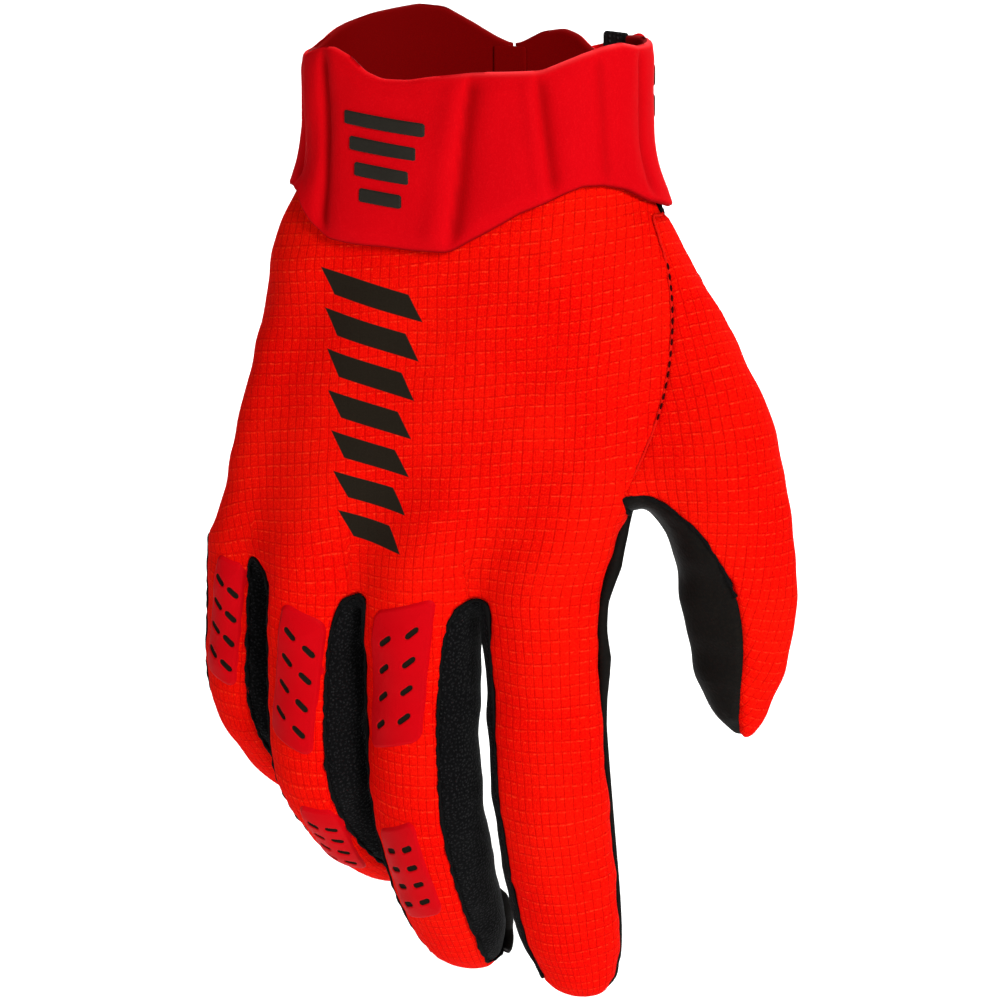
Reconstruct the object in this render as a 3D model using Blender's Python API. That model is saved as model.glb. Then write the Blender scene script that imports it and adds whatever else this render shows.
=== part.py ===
# Motocross glove for a right hand, in the form it has when worn: fingers down, thumb towards +X,
# back of the hand towards -Y, palm towards +Y. Metres, +Z up.
# The origin is the middle of the wrist opening.
import bpy
import numpy as np
from mathutils import Vector
from mathutils.bvhtree import BVHTree

MM = 0.001

# Driving dimensions
WRIST_WIDTH = 74 * MM       # across the knit at the wrist
WRIST_DEPTH = 40 * MM       # back to palm at the wrist
HAND_LENGTH = 104 * MM      # wrist opening to the last row above the finger roots
KNUCKLE_DEPTH = 32 * MM     # back to palm at the knuckles
PALM_DROP = 12 * MM         # how much lower the palm reaches than the back at the finger roots
FINGER_WIDTH = 27.2 * MM    # middle finger, side to side
FINGER_DEPTH = 25.2 * MM    # middle finger, back to palm
FINGER_LENGTH = 110.5 * MM  # middle finger, root to tip along its back
FINGER_GAP = 1.4 * MM       # between two fingers at their roots
ROOT_SLANT = 13 * MM        # how much lower a finger's root lies on the palm side
KNUCKLE_BEND = 15 * MM      # stretch over which a finger joint bends
THUMB_LENGTH = 70.5 * MM    # thumb root to tip, measured down
THUMB_WIDTH = 29.6 * MM
THUMB_DEPTH = 25 * MM
WALL = 1.2 * MM             # every fabric panel
SEAM_GAP = 0.3 * MM         # between neighbouring panels
PANEL_TOP = 14 * MM         # top edge of the panels, hidden inside the cuff
CUFF_WALL = 2.2 * MM
CUFF_FIT = 0.5 * MM         # cuff to panels
CUFF_HEIGHT = 38.7 * MM     # wrist opening to the cuff's lowest point
CUFF_RISE = 10 * MM         # wrist opening to the cuff's highest point
GROOVE_DEPTH = 0.9 * MM     # the cuff's moulded channels
TAB_WALL = 1.3 * MM
TAB_FIT = 0.35 * MM         # closure tab to cuff
HOOK_WALL = 1.0 * MM
GRIP_WALL = 0.9 * MM
BADGE_WALL = 0.8 * MM
BADGE_BAR_LENGTH = 19 * MM
BADGE_BAR_WIDTH = 3 * MM
BADGE_PITCH = 5.4 * MM
PAD_WALL = 1.2 * MM
PAD_FIT = 0.45 * MM         # pads and badge to what they lie on
SLOT_LENGTH = 3.8 * MM
SLOT_WIDTH = 1.8 * MM

HAND_WIDTH = 3.6 * (FINGER_WIDTH + FINGER_GAP)
SECTION_POWER = 2.35        # superellipse of the hand's sections
BACK_ANGLES = (74, -66)     # degrees over which a section's cage points lie on the back
PALM_ANGLES = (246, 106)
EDGE_ANGLE = -90            # the point on the little finger's side
CAGE_SWELL = 1 / 0.915      # a cage ring of 8 points lies outside the smooth finger
THUMB_SWELL = 1 / 0.96
PANEL_LEVELS = 1            # subdivision of the panels
SEAT_LEVELS = 3             # subdivision of the surface that the other pieces are laid on
SHARP_ANGLE = 50            # degrees

# Hand sections. height: share of HAND_LENGTH. drop: share of PALM_DROP. across: share of HAND_WIDTH.
# width: 0 at the wrist's width, 1 at the hand's. back, palm: 0 at the wrist's depth, 1 at the knuckles'.
# roots: share of the finger roots' outline in this section. back_seam, palm_seam: degrees by which
# the thumb's two seams lie further round.
HAND_COLUMNS = ("height", "drop", "across", "width", "back", "palm", "roots", "back_seam", "palm_seam")
HAND_SECTIONS = (
    (PANEL_TOP / HAND_LENGTH, 0.00, 0.000, 0.00, 0.00, 0.00, 0.00, 6, 0),
    (0.245, 0.00, -0.002, 0.09, 0.00, 0.00, 0.00, 14, 4),
    (0.335, 0.05, -0.015, 0.54, -0.10, -0.05, 0.01, 13, 8),
    (0.500, 0.20, 0.000, 0.78, 0.30, 0.15, 0.06, 6, 14),
    (0.695, 0.44, -0.024, 0.99, 0.46, 0.42, 0.16, 0, 20),
    (0.862, 0.68, -0.060, 0.84, 0.72, 0.72, 0.42, 0, 14),
    (1.000, 1.00, -0.102, 0.66, 1.00, 0.88, 0.74, 0, 0),
)

# Fingers. across: share of HAND_WIDTH. depth: share of KNUCKLE_DEPTH. height: share of HAND_LENGTH.
# roll, splay and the three bends are degrees. length, width and thick are shares of the finger sizes.
# The next four are the angles of the seams round the finger, from the middle of its back, and the next
# two the degrees that its back seams gain half way down. flat_in, flat_out: share by which its inner and
# its outer side are flattened at the root, against the next finger. palm_rise: degrees by which its inner
# palm seam lies nearer the back at the root.
FINGER_COLUMNS = ("across", "depth", "height", "roll", "splay", "length", "width", "thick",
                  "bend1", "bend2", "bend3", "back_in", "back_out", "palm_in", "palm_out",
                  "bow_in", "bow_out", "flat_in", "flat_out", "palm_rise")
FINGERS = {
    "index": (0.153, -0.016, 1.106, -2, 0.8, 0.946, 1.000, 1.000, 5, 13, 8, 60, -46, 94, -125,
              0, -8, 0, 0, 18),
    "middle": (-0.124, -0.031, 1.125, 2, -2.6, 1.000, 1.000, 1.000, 8, 21, 13, 53, -46, 128, -128,
               -16, -27, 0, 0.06, 0),
    "ring": (-0.374, 0.063, 1.135, 15, -6.5, 0.923, 0.956, 0.984, 8, 36, 22, 56, -28, 128, -128,
             -16, -19, 0.06, 0.25, 0),
    "little": (-0.547, 0.297, 1.048, 28, -12.3, 0.824, 0.853, 0.889, 5, 36, 20, 44, -42, 128, -128,
               0, 0, 0.25, 0, 0),
}
FINGER_JOINTS = (0.47, 0.75)    # share of the finger's length
SEAM_BOW = 0.7                  # power of the share of the length, which puts the bow above half way
FINGER_FLAT = 0.6               # share of the finger's length over which flat sides and palm rise fade

# Sections of every finger: share of its length, of its width and of its thickness
FINGER_PROFILE = (
    (0.00, 1.00, 1.08), (0.12, 0.98, 1.00), (0.30, 0.95, 0.94), (0.47, 0.98, 0.97),
    (0.62, 0.94, 0.92), (0.78, 0.90, 0.86), (0.90, 0.83, 0.76), (1.00, 0.64, 0.52),
)
FINGER_RINGS = (0.0, 0.11, 0.28, 0.45, 0.61, 0.79, 0.97)
FINGER_TIP = 1.055
FINGER_WALK = (-0.2, 1.2, 401)  # the middle line's start and end in shares of the length, and its steps

# Thumb sections. across: share of HAND_WIDTH. depth: share of KNUCKLE_DEPTH. down: share of
# THUMB_LENGTH below the thumb's root. wide, thick: shares of the thumb's sizes.
# out_x, out_y, out_z: the direction of the section's outer edge.
THUMB_ROOT = 0.798              # share of HAND_LENGTH
THUMB_COLUMNS = ("across", "depth", "down", "wide", "thick", "out_x", "out_y", "out_z")
THUMB_SECTIONS = (
    (0.520, 0.210, 0.030, 1.290, 1.14, 0.71, -0.06, 0.70),
    (0.536, 0.313, 0.215, 1.130, 1.08, 0.80, -0.08, 0.55),
    (0.553, 0.438, 0.411, 1.000, 1.00, 0.93, -0.10, 0.30),
    (0.549, 0.547, 0.596, 0.919, 0.88, 0.98, -0.10, 0.08),
    (0.530, 0.656, 0.787, 0.689, 0.68, 0.98, -0.10, -0.10),
    (0.525, 0.734, 0.936, 0.351, 0.36, 0.97, -0.10, -0.20),
)
THUMB_TIP = (0.524, 0.766, 1.0)
# Degrees round each thumb section, from its outer edge over its back; the sixth is the seam
THUMB_ANGLES = (
    (0, 27, 50, 72, 95, 122, 160, 204, 238, 268, 298, 328),
    (0, 20, 38, 54, 70, 90, 132, 178, 212, 244, 276, 312),
    (0, 16, 30, 43, 56, 70, 116, 160, 198, 232, 268, 308),
    (0, 14, 27, 39, 51, 63, 108, 154, 194, 228, 266, 307),
    (0, 14, 27, 39, 51, 62, 108, 154, 194, 228, 266, 307),
    (0, 14, 27, 39, 51, 62, 108, 154, 194, 228, 266, 307),
)
THUMB_SEAM = 5
THUMB_CLOSING = (0.25, 0.5, 0.75)   # shares of the line that closes the tip
THUMB_HOLE = (1, 5)             # hand sections between which the thumb leaves the hand

# Cuff edges by angle from the middle of the back, towards the thumb: share of CUFF_RISE for the
# upper edge and of CUFF_HEIGHT for the lower one
CUFF_EDGES = (
    (-181, 0.15, -0.83), (-170, 0.60, -0.83), (-160, 0.95, -0.82), (-150, 1.00, -0.82),
    (-130, 0.80, -0.80), (-112, 0.55, -0.78), (-90, 0.18, -0.74), (-68, 0.10, -0.72),
    (-58, 0.26, -0.74), (-47, 0.40, -0.89), (-39, 0.42, -0.97), (-31, 0.26, -0.985),
    (-24, -0.04, -0.99), (-17, -0.18, -0.99), (-8, -0.17, -1.00), (2, -0.02, -1.00),
    (8, 0.05, -0.93), (14, 0.08, -0.87), (25, 0.11, -0.76), (33, 0.14, -0.71), (42, 0.33, -0.65),
    (50, 0.48, -0.61), (60, 0.62, -0.61), (71, 0.68, -0.64), (84, 0.56, -0.71), (95, 0.55, -0.77),
    (115, 0.60, -0.80), (131, 0.55, -0.82), (148, 0.10, -0.82), (153, 0.25, -0.82),
    (157, 0.46, -0.82), (163, 0.57, -0.82), (171, 0.48, -0.83), (179, 0.15, -0.83),
)
CUFF_BAND = (-180.7, 131)       # degrees, start and end
CUFF_TONGUE = (148, 178.8)
CUFF_ROWS = ((0.0, 0.45), (0.07, 1.0), (0.50, 1.0), (0.93, 1.0), (1.0, 0.45))  # down, wall share
CUFF_STEP = 8.5                 # degrees, widest column of the cuff's mesh
CUFF_SEAT = 0.5 * MM            # the cuff above the panels' top edge is shaped by them this far below it
# Moulded channels down the cuff: degrees at the upper edge and at the lower edge
CUFF_GROOVES = ((-158, -158), (-129, -129), (-100, -98), (-69, -66), (-45.5, -41.5), (8.3, 2.5),
                (30.9, 37.5), (56.8, 61), (84, 88), (110, 112))

# Patches on the closure: degrees from and to, top and bottom as shares of CUFF_HEIGHT
TAB_PATCH = (122, 206, 0.01, -0.70)
TAB_SLOPE = 0.17                # share of CUFF_HEIGHT from the tab's middle up to its start
HOOK_PATCH = (132.5, 146.5, 0.15, -0.62)
GRIP_PATCHES = {"closure_grip_upper": (119, 133, -0.01, -0.14),
                "closure_grip_lower": (119, 133, -0.18, -0.32)}
PATCH_CORNER = 0.35             # share of a patch's height that its ends lose
PATCH_POWER = 8                 # how sharply that starts
BADGE_BARS = 4
BADGE_PLACE = (-17, 0.50)       # degrees, share of CUFF_HEIGHT below the opening, of its middle
BADGE_TAPER = 0.16              # share by which each bar is shorter than the one above

# Pads on the fingers. start, end: shares of the finger's length. skew: share of it by which the outer
# side lies further down. in_top, out_top, in_low, out_low: degrees round the finger of the corners.
# lean: how far the slots' outer ends lie further down, and slant: how far their rows do so beyond the
# pad's own skew, both in millimetres along the finger per millimetre across.
PAD_COLUMNS = ("finger", "start", "end", "skew", "in_top", "out_top", "in_low", "out_low", "lean", "slant")
PADS = {
    "knuckle_pad_middle": ("middle", 0.002, 0.330, 0.050, 42, -33, 25, -58, 0.55, 0.10),
    "knuckle_pad_ring": ("ring", 0.032, 0.380, -0.045, 49, -4, 31, -35, -0.50, -0.40),
    "knuckle_pad_little": ("little", 0.045, 0.410, -0.015, 41, -2, 36, -28, -0.55, -0.40),
    "finger_pad_middle": ("middle", 0.485, 0.740, 0.050, 10, -56, 25, -46, 0.10, 0.05),
    "finger_pad_ring": ("ring", 0.490, 0.740, -0.010, 56, -8, 44, -24, -0.30, -0.20),
}
PAD_CORNER = 0.25               # share of half a slot's cell by which the pad's corners are drawn in
PAD_SLOTS = (2, 4)              # across, along
PAD_DRAW = 0.06                 # share of the pad's width by which its columns of slots are drawn together
PAD_SLOT_ROWS = (0.225, 0.805)  # share of the pad's length at which its first and last slots lie

COLOURS = {                     # base colour, roughness
    "knit_red": ((0.62, 0.012, 0.012), 0.75),
    "palm_black": ((0.016, 0.016, 0.018), 0.70),
    "mesh_black": ((0.020, 0.020, 0.024), 0.85),
    "cuff_red": ((0.48, 0.012, 0.018), 0.60),
    "pad_red": ((0.42, 0.012, 0.014), 0.50),
    "rubber_black": ((0.025, 0.022, 0.022), 0.55),
    "hook_black": ((0.012, 0.012, 0.012), 0.90),
}
PANEL_MATERIALS = {
    "back_panel": "knit_red", "palm_panel": "palm_black", "gusset_index_middle": "mesh_black",
    "gusset_middle_ring": "mesh_black", "gusset_ring_little": "mesh_black",
    "thumb_back": "knit_red", "thumb_inner": "palm_black",
}
PANELS = tuple(PANEL_MATERIALS)
FINGER_ORDER = tuple(FINGERS)


def clear_scene():
    for thing in list(bpy.data.objects):
        bpy.data.objects.remove(thing, do_unlink=True)


def make_material(name):
    colour, roughness = COLOURS[name]
    material = bpy.data.materials.get(name) or bpy.data.materials.new(name)
    material.use_nodes = True
    shader = material.node_tree.nodes["Principled BSDF"]
    shader.inputs["Base Color"].default_value = (*colour, 1.0)
    shader.inputs["Roughness"].default_value = roughness
    shader.inputs["Metallic"].default_value = 0.0
    material.diffuse_color = (*colour, 1.0)
    return material


def add_object(name, points, faces, material):
    mesh = bpy.data.meshes.new(name)
    mesh.from_pydata([tuple(point) for point in points], [], faces)
    mesh.materials.append(make_material(material))
    mesh.update()
    mesh.shade_smooth()
    mesh.set_sharp_from_angle(angle=np.radians(SHARP_ANGLE))
    thing = bpy.data.objects.new(name, mesh)
    bpy.context.scene.collection.objects.link(thing)
    return thing


def smooth_step(value):
    value = np.clip(value, 0, 1)
    return value * value * (3 - 2 * value)


def finger_values(name):
    return dict(zip(FINGER_COLUMNS, FINGERS[name]))


# A finger's middle line: its centre, its back direction and its side direction at distances along it
def finger_line(name, distance):
    finger = finger_values(name)
    length = finger["length"] * FINGER_LENGTH
    roll, splay = np.radians(finger["roll"]), np.radians(finger["splay"])
    back = np.array([-np.sin(roll), -np.cos(roll), 0.0])
    level = np.array([np.cos(roll), -np.sin(roll), 0.0])
    up = np.array([0.0, 0.0, 1.0])
    down = -up * np.cos(splay) + level * np.sin(splay)
    side = level * np.cos(splay) + up * np.sin(splay)
    walk = np.linspace(*FINGER_WALK) * length
    bend = np.full(walk.shape, float(finger["bend1"]))
    for joint, turn in zip(FINGER_JOINTS, (finger["bend2"], finger["bend3"])):
        bend += turn * smooth_step((walk - joint * length) / KNUCKLE_BEND + 0.5)
    bend = np.radians(bend)[:, None]
    along = down * np.cos(bend) - back * np.sin(bend)
    outward = back * np.cos(bend) + down * np.sin(bend)
    centre = np.cumsum(along * (walk[1] - walk[0]), axis=0)
    centre -= centre[np.argmin(np.abs(walk))]
    centre += (finger["across"] * HAND_WIDTH, finger["depth"] * KNUCKLE_DEPTH,
               -finger["height"] * HAND_LENGTH)
    distance = np.atleast_1d(distance)
    read = [np.stack([np.interp(distance, walk, values[:, axis]) for axis in range(3)], -1)
            for values in (centre, outward)]
    return read[0], read[1], side


def finger_ring(name, share):
    finger = finger_values(name)
    length = finger["length"] * FINGER_LENGTH
    bow = np.sin(np.pi * share ** SEAM_BOW)
    back_in = finger["back_in"] + bow * finger["bow_in"]
    back_out = finger["back_out"] + bow * finger["bow_out"]
    fade = 1 - smooth_step(share / FINGER_FLAT)
    palm_in, palm_out = finger["palm_in"] - finger["palm_rise"] * fade, finger["palm_out"]
    angle = np.radians([back_in, (back_in + back_out) / 2, back_out, (back_out + palm_out) / 2, palm_out,
                        180 + (palm_in + palm_out) / 2, palm_in, (palm_in + back_in) / 2])
    shares, widths, depths = np.array(FINGER_PROFILE).T
    wide = np.interp(share, shares, widths) * finger["width"] * FINGER_WIDTH / 2 * CAGE_SWELL
    deep = np.interp(share, shares, depths) * finger["thick"] * FINGER_DEPTH / 2 * CAGE_SWELL
    flat = np.array([0, 0, 0, *[finger["flat_out"]] * 2, 0, *[finger["flat_in"]] * 2])
    wide = wide * (1 - flat * fade)
    distance = share * length + ROOT_SLANT * (1 - share) ** 3 * (1 - np.cos(angle)) / 2
    centre, outward, side = finger_line(name, distance)
    return centre + outward * (deep * np.cos(angle))[:, None] + side * (wide * np.sin(angle))[:, None]


def superellipse(centre_x, half_width, back_depth, palm_depth, angle):
    cosine, sine = np.cos(angle), np.sin(angle)
    power = 2 / SECTION_POWER
    x = centre_x + half_width * np.sign(sine) * np.abs(sine) ** power
    depth = np.where(cosine > 0, back_depth, palm_depth)
    return x, -depth * np.sign(cosine) * np.abs(cosine) ** power


# Angles of a section's cage points: 3 for each finger on the back and on the palm, and one on each side
def hand_angles(back_seam, palm_seam):
    back = np.linspace(BACK_ANGLES[0] + back_seam, BACK_ANGLES[1], 3 * len(FINGERS))
    palm = np.linspace(PALM_ANGLES[0], PALM_ANGLES[1] + palm_seam, 3 * len(FINGERS))
    return np.radians(np.concatenate([back, [EDGE_ANGLE], palm, [(back[0] + palm[-1]) / 2]]))


def hand_section(row, roots):
    values = dict(zip(HAND_COLUMNS, row))
    angle = hand_angles(values["back_seam"], values["palm_seam"])
    half = (WRIST_WIDTH + values["width"] * (HAND_WIDTH - WRIST_WIDTH)) / 2
    back = (WRIST_DEPTH + values["back"] * (KNUCKLE_DEPTH - WRIST_DEPTH)) / 2
    palm = (WRIST_DEPTH + values["palm"] * (KNUCKLE_DEPTH - WRIST_DEPTH)) / 2
    x, y = superellipse(values["across"] * HAND_WIDTH, half, back, palm, angle)
    z = -values["height"] * HAND_LENGTH - values["drop"] * PALM_DROP * (1 - np.cos(angle)) / 2
    share = values["roots"]
    x = x * (1 - share) + roots[:, 0] * share
    y = y * (1 - share) + roots[:, 1] * share
    return np.stack([x, y, z], -1)


# The cage is built from rings of points, with a panel's number for each four-sided face
class Cage:
    def __init__(self):
        self.points, self.faces, self.panels = [], [], []

    def add_ring(self, points):
        start = len(self.points)
        self.points.extend(np.asarray(points, float))
        return list(range(start, len(self.points)))

    def add_face(self, corners, panel):
        self.faces.append(tuple(corners))
        self.panels.append(PANELS.index(panel))

    def add_tube(self, rings, panel_of):
        for upper, lower in zip(rings, rings[1:]):
            for place in range(len(upper)):
                after = (place + 1) % len(upper)
                self.add_face((upper[place], upper[after], lower[after], lower[place]), panel_of(place))


def gusset_name(finger, side):
    place = FINGER_ORDER.index(finger) + side
    if place < 0:
        return "back_panel"
    if place >= len(FINGER_ORDER) - 1:
        return "palm_panel"
    return f"gusset_{FINGER_ORDER[place]}_{FINGER_ORDER[place + 1]}"


def add_finger(cage, name):
    panels = ["back_panel", gusset_name(name, 0), "palm_panel", gusset_name(name, -1)]
    rings = [cage.add_ring(finger_ring(name, share)) for share in FINGER_RINGS]
    cage.add_tube(rings, lambda place: panels[place // 2])
    length = finger_values(name)["length"] * FINGER_LENGTH
    middle = cage.add_ring(finger_line(name, FINGER_TIP * length)[0])[0]
    end = rings[-1]
    cage.add_face((end[0], end[1], middle, end[7]), "back_panel")
    cage.add_face((end[1], end[2], end[3], middle), "back_panel")
    cage.add_face((end[7], middle, end[5], end[6]), "palm_panel")
    cage.add_face((middle, end[3], end[4], end[5]), "palm_panel")
    return rings[0]


def add_webs(cage, roots):
    for name, after in zip(FINGER_ORDER, FINGER_ORDER[1:]):
        left, right = roots[name], roots[after]
        cage.add_face((left[2], right[0], right[7], left[3]), gusset_name(name, 0))
        cage.add_face((left[3], right[7], right[6], left[4]), gusset_name(name, 0))


def add_hand(cage, roots):
    crotch = [point for name in FINGER_ORDER for point in roots[name][:3]]
    crotch.append(roots[FINGER_ORDER[-1]][3])
    crotch += [point for name in FINGER_ORDER[::-1] for point in roots[name][4:7]]
    crotch.append(roots[FINGER_ORDER[0]][7])
    outline = np.array([cage.points[point] for point in crotch])
    rows = [cage.add_ring(hand_section(row, outline)) for row in HAND_SECTIONS]
    rows.append(crotch)
    count = len(crotch)
    backs = 3 * len(FINGERS)
    for row in range(len(rows) - 1):
        in_hole = THUMB_HOLE[0] <= row < THUMB_HOLE[1]
        for place in range(count):
            if in_hole and place >= count - 2:
                continue
            after = (place + 1) % count
            on_back = place < backs or place == count - 1
            on_back = on_back or (place == count - 2 and row >= THUMB_HOLE[1])
            corners = (rows[row][place], rows[row][after], rows[row + 1][after], rows[row + 1][place])
            cage.add_face(corners, "back_panel" if on_back else "palm_panel")
    return rows


def thumb_point(across, depth, down):
    return np.array([across * HAND_WIDTH, depth * KNUCKLE_DEPTH,
                     -THUMB_ROOT * HAND_LENGTH - down * THUMB_LENGTH])


def thumb_rings():
    centres = [thumb_point(*row[:3]) for row in THUMB_SECTIONS]
    tip = thumb_point(*THUMB_TIP)
    line = [2 * centres[0] - centres[1]] + centres + [tip]
    rings = []
    for place, (row, degrees) in enumerate(zip(THUMB_SECTIONS, THUMB_ANGLES)):
        values = dict(zip(THUMB_COLUMNS, row))
        along = line[place + 2] - line[place]
        along /= np.linalg.norm(along)
        out = np.array([values["out_x"], values["out_y"], values["out_z"]])
        out /= np.linalg.norm(out)
        back = np.cross(along, out)
        back /= np.linalg.norm(back)
        angle = np.radians(degrees)
        wide = values["wide"] * THUMB_WIDTH / 2 * THUMB_SWELL
        thick = values["thick"] * THUMB_DEPTH / 2 * THUMB_SWELL
        ring = np.outer(np.cos(angle) * wide, out) + np.outer(np.sin(angle) * thick, back)
        rings.append(centres[place] + ring)
    return rings, tip


def add_thumb(cage, rows):
    middle, palm, back = -1, -2, 0
    first, last = THUMB_HOLE
    base = [rows[first][middle]] + [rows[row][back] for row in range(first, last + 1)]
    base += [rows[last][middle]] + [rows[row][palm] for row in range(last, first - 1, -1)]
    sections, tip = thumb_rings()
    rings = [base] + [cage.add_ring(section) for section in sections]
    last_side = len(base) - 1
    cage.add_tube(rings, lambda place: "thumb_inner" if THUMB_SEAM <= place < last_side else "thumb_back")
    end = rings[-1]
    corners = np.array([cage.points[point] for point in end])
    rise = tip - corners.mean(axis=0)
    inner = []
    for share in THUMB_CLOSING:
        point = corners[THUMB_SEAM] * (1 - share) + corners[-1] * share
        inner += cage.add_ring([point + rise * np.sin(np.pi * share) ** 0.5])
    line = [end[THUMB_SEAM], *inner, end[-1]]
    outer, under = end[THUMB_SEAM - 1::-1], end[THUMB_SEAM + 1:-1]
    for place in range(len(line) - 1):
        cage.add_face((outer[place], line[place], line[place + 1], outer[place + 1]), "thumb_back")
        cage.add_face((line[place], under[place], under[place + 1], line[place + 1]), "thumb_inner")


def build_cage():
    cage = Cage()
    roots = {name: add_finger(cage, name) for name in FINGER_ORDER}
    add_webs(cage, roots)
    add_thumb(cage, add_hand(cage, roots))
    return cage


# The cage under a Subdivision modifier, read back as points, normals, faces and panel numbers
def smooth_surface(cage, levels):
    mesh = bpy.data.meshes.new("hand_cage")
    mesh.from_pydata([tuple(point) for point in cage.points], [], cage.faces)
    for name in PANELS:
        mesh.materials.append(make_material(PANEL_MATERIALS[name]))
    mesh.polygons.foreach_set("material_index", cage.panels)
    mesh.update()
    guide = bpy.data.objects.new("hand_cage", mesh)
    guide.hide_render = True
    guide.display_type = "WIRE"
    bpy.context.scene.collection.objects.link(guide)
    modifier = guide.modifiers.new("smooth", "SUBSURF")
    modifier.levels = levels
    modifier.render_levels = levels
    evaluated = guide.evaluated_get(bpy.context.evaluated_depsgraph_get())
    smooth = evaluated.to_mesh()
    points = np.array([vertex.co[:] for vertex in smooth.vertices])
    normals = np.array([vertex.normal[:] for vertex in smooth.vertices])
    faces = [tuple(polygon.vertices) for polygon in smooth.polygons]
    panels = [polygon.material_index for polygon in smooth.polygons]
    evaluated.to_mesh_clear()
    bpy.data.objects.remove(guide, do_unlink=True)
    return points, normals, faces, panels


# Edges with a face on one side only, in that face's order round itself
def open_edges(faces):
    edges = {(face[place - 1], face[place]) for face in faces for place in range(len(face))}
    return [edge for edge in edges if edge[::-1] not in edges]


# How far each point of a panel's edge moves into the panel, so that two panels leave a seam gap
def seam_shift(points, normals, edges):
    inward = {}
    for start, end in edges:
        side = np.cross(normals[start] + normals[end], points[end] - points[start])
        side /= np.linalg.norm(side)
        inward.setdefault(start, []).append(side)
        inward.setdefault(end, []).append(side)
    shifts = {}
    for point, (first, second) in inward.items():
        shifts[point] = SEAM_GAP / 2 * (first + second) / (1 + first @ second)
    return shifts


# A closed solid from an open sheet of faces: the sheet, its copy one wall below, and the rim
def sheet_solid(outer, inner, faces):
    count = len(outer)
    below = [tuple(corner + count for corner in face[::-1]) for face in faces]
    rim = [(end, start, start + count, end + count) for start, end in open_edges(faces)]
    return np.concatenate([outer, inner]), list(faces) + below + rim


def make_panel(name, surface):
    points, normals, faces, panels = surface
    wanted = PANELS.index(name)
    chosen = [face for face, panel in zip(faces, panels) if panel == wanted]
    used = sorted({corner for face in chosen for corner in face})
    shift = np.zeros((len(points), 3))
    for corner, move in seam_shift(points, normals, open_edges(chosen)).items():
        shift[corner] = move
    place = {corner: order for order, corner in enumerate(used)}
    chosen = [tuple(place[corner] for corner in face) for face in chosen]
    outer = (points + shift)[used]
    solid, solid_faces = sheet_solid(outer, outer - WALL * normals[used], chosen)
    add_object(name, solid, solid_faces, PANEL_MATERIALS[name])


def surface_tree(cage):
    points, _, faces, _ = smooth_surface(cage, SEAT_LEVELS)
    return BVHTree.FromPolygons([Vector(point) for point in points], faces)


def cast_out(tree, start, direction):
    place, normal, _, _ = tree.ray_cast(Vector(start), Vector(direction))
    return np.array(place), np.array(normal)


def cuff_edge(angle, part):
    rows = np.array(CUFF_EDGES)
    size = CUFF_RISE if part == 1 else CUFF_HEIGHT
    return np.interp(angle, rows[:, 0], rows[:, part]) * size


# A point of the cuff: the panels' surface at an angle and a height, moved out by an offset
def cuff_point(tree, angle, height, offset):
    seat = min(height, -PANEL_TOP - CUFF_SEAT)
    turn = np.radians(angle)
    x, y = superellipse(0, WRIST_WIDTH / 2, WRIST_DEPTH / 2, WRIST_DEPTH / 2, turn)
    place, normal = cast_out(tree, (0, 0, seat), (x, y, 0))
    level = np.array([normal[0], normal[1], 0])
    place = place + level / np.linalg.norm(level) * offset
    return np.array([place[0], place[1], height])


# Columns of the cuff's mesh: its two ends, every channel between them and steps in between
def cuff_columns(start, end):
    lines = [(start, start, 0.0)]
    lines += [(top, low, 1.0) for top, low in CUFF_GROOVES if start < min(top, low) and max(top, low) < end]
    lines.append((end, end, 0.0))
    columns = [lines[0]]
    for before, after in zip(lines, lines[1:]):
        steps = max(2, round((after[0] - before[0]) / CUFF_STEP))
        for step in range(1, steps + 1):
            share = step / steps
            top = before[0] + (after[0] - before[0]) * share
            low = before[1] + (after[1] - before[1]) * share
            columns.append((top, low, after[2] if step == steps else 0.0))
    return columns


def grid_faces(across, down):
    corners = [column * down + row for column in range(across - 1) for row in range(down - 1)]
    return [(corner, corner + 1, corner + down + 1, corner + down) for corner in corners]


def make_cuff_piece(name, tree, start, end):
    inner, outer = [], []
    columns = cuff_columns(start, end)
    for top_angle, low_angle, groove in columns:
        for down, wall in CUFF_ROWS:
            angle = top_angle + (low_angle - top_angle) * down
            top, low = cuff_edge(angle, 1), cuff_edge(angle, 2)
            height = top + (low - top) * down
            thick = CUFF_WALL * wall - GROOVE_DEPTH * groove * (wall == 1)
            inner.append(cuff_point(tree, angle, height, CUFF_FIT))
            outer.append(cuff_point(tree, angle, height, CUFF_FIT + thick))
    solid, faces = sheet_solid(np.array(outer), np.array(inner), grid_faces(len(columns), len(CUFF_ROWS)))
    add_object(name, solid, faces, "cuff_red")


# A patch that lies round the cuff, with its corners rounded off
def make_patch(name, tree, patch, offset, wall, material, columns, rows=4, slope=0):
    start, end, top, low = patch
    inner, outer = [], []
    for across in np.linspace(-1, 1, columns):
        reach = 1 - PATCH_CORNER * abs(across) ** PATCH_POWER
        for down in np.linspace(-1, 1, rows):
            angle = (start + end) / 2 + (end - start) / 2 * across
            height = ((top + low) / 2 - (top - low) / 2 * down * reach - slope * across) * CUFF_HEIGHT
            inner.append(cuff_point(tree, angle, height, offset))
            outer.append(cuff_point(tree, angle, height, offset + wall))
    solid, faces = sheet_solid(np.array(outer), np.array(inner), grid_faces(columns, rows))
    add_object(name, solid, faces, material)


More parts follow.
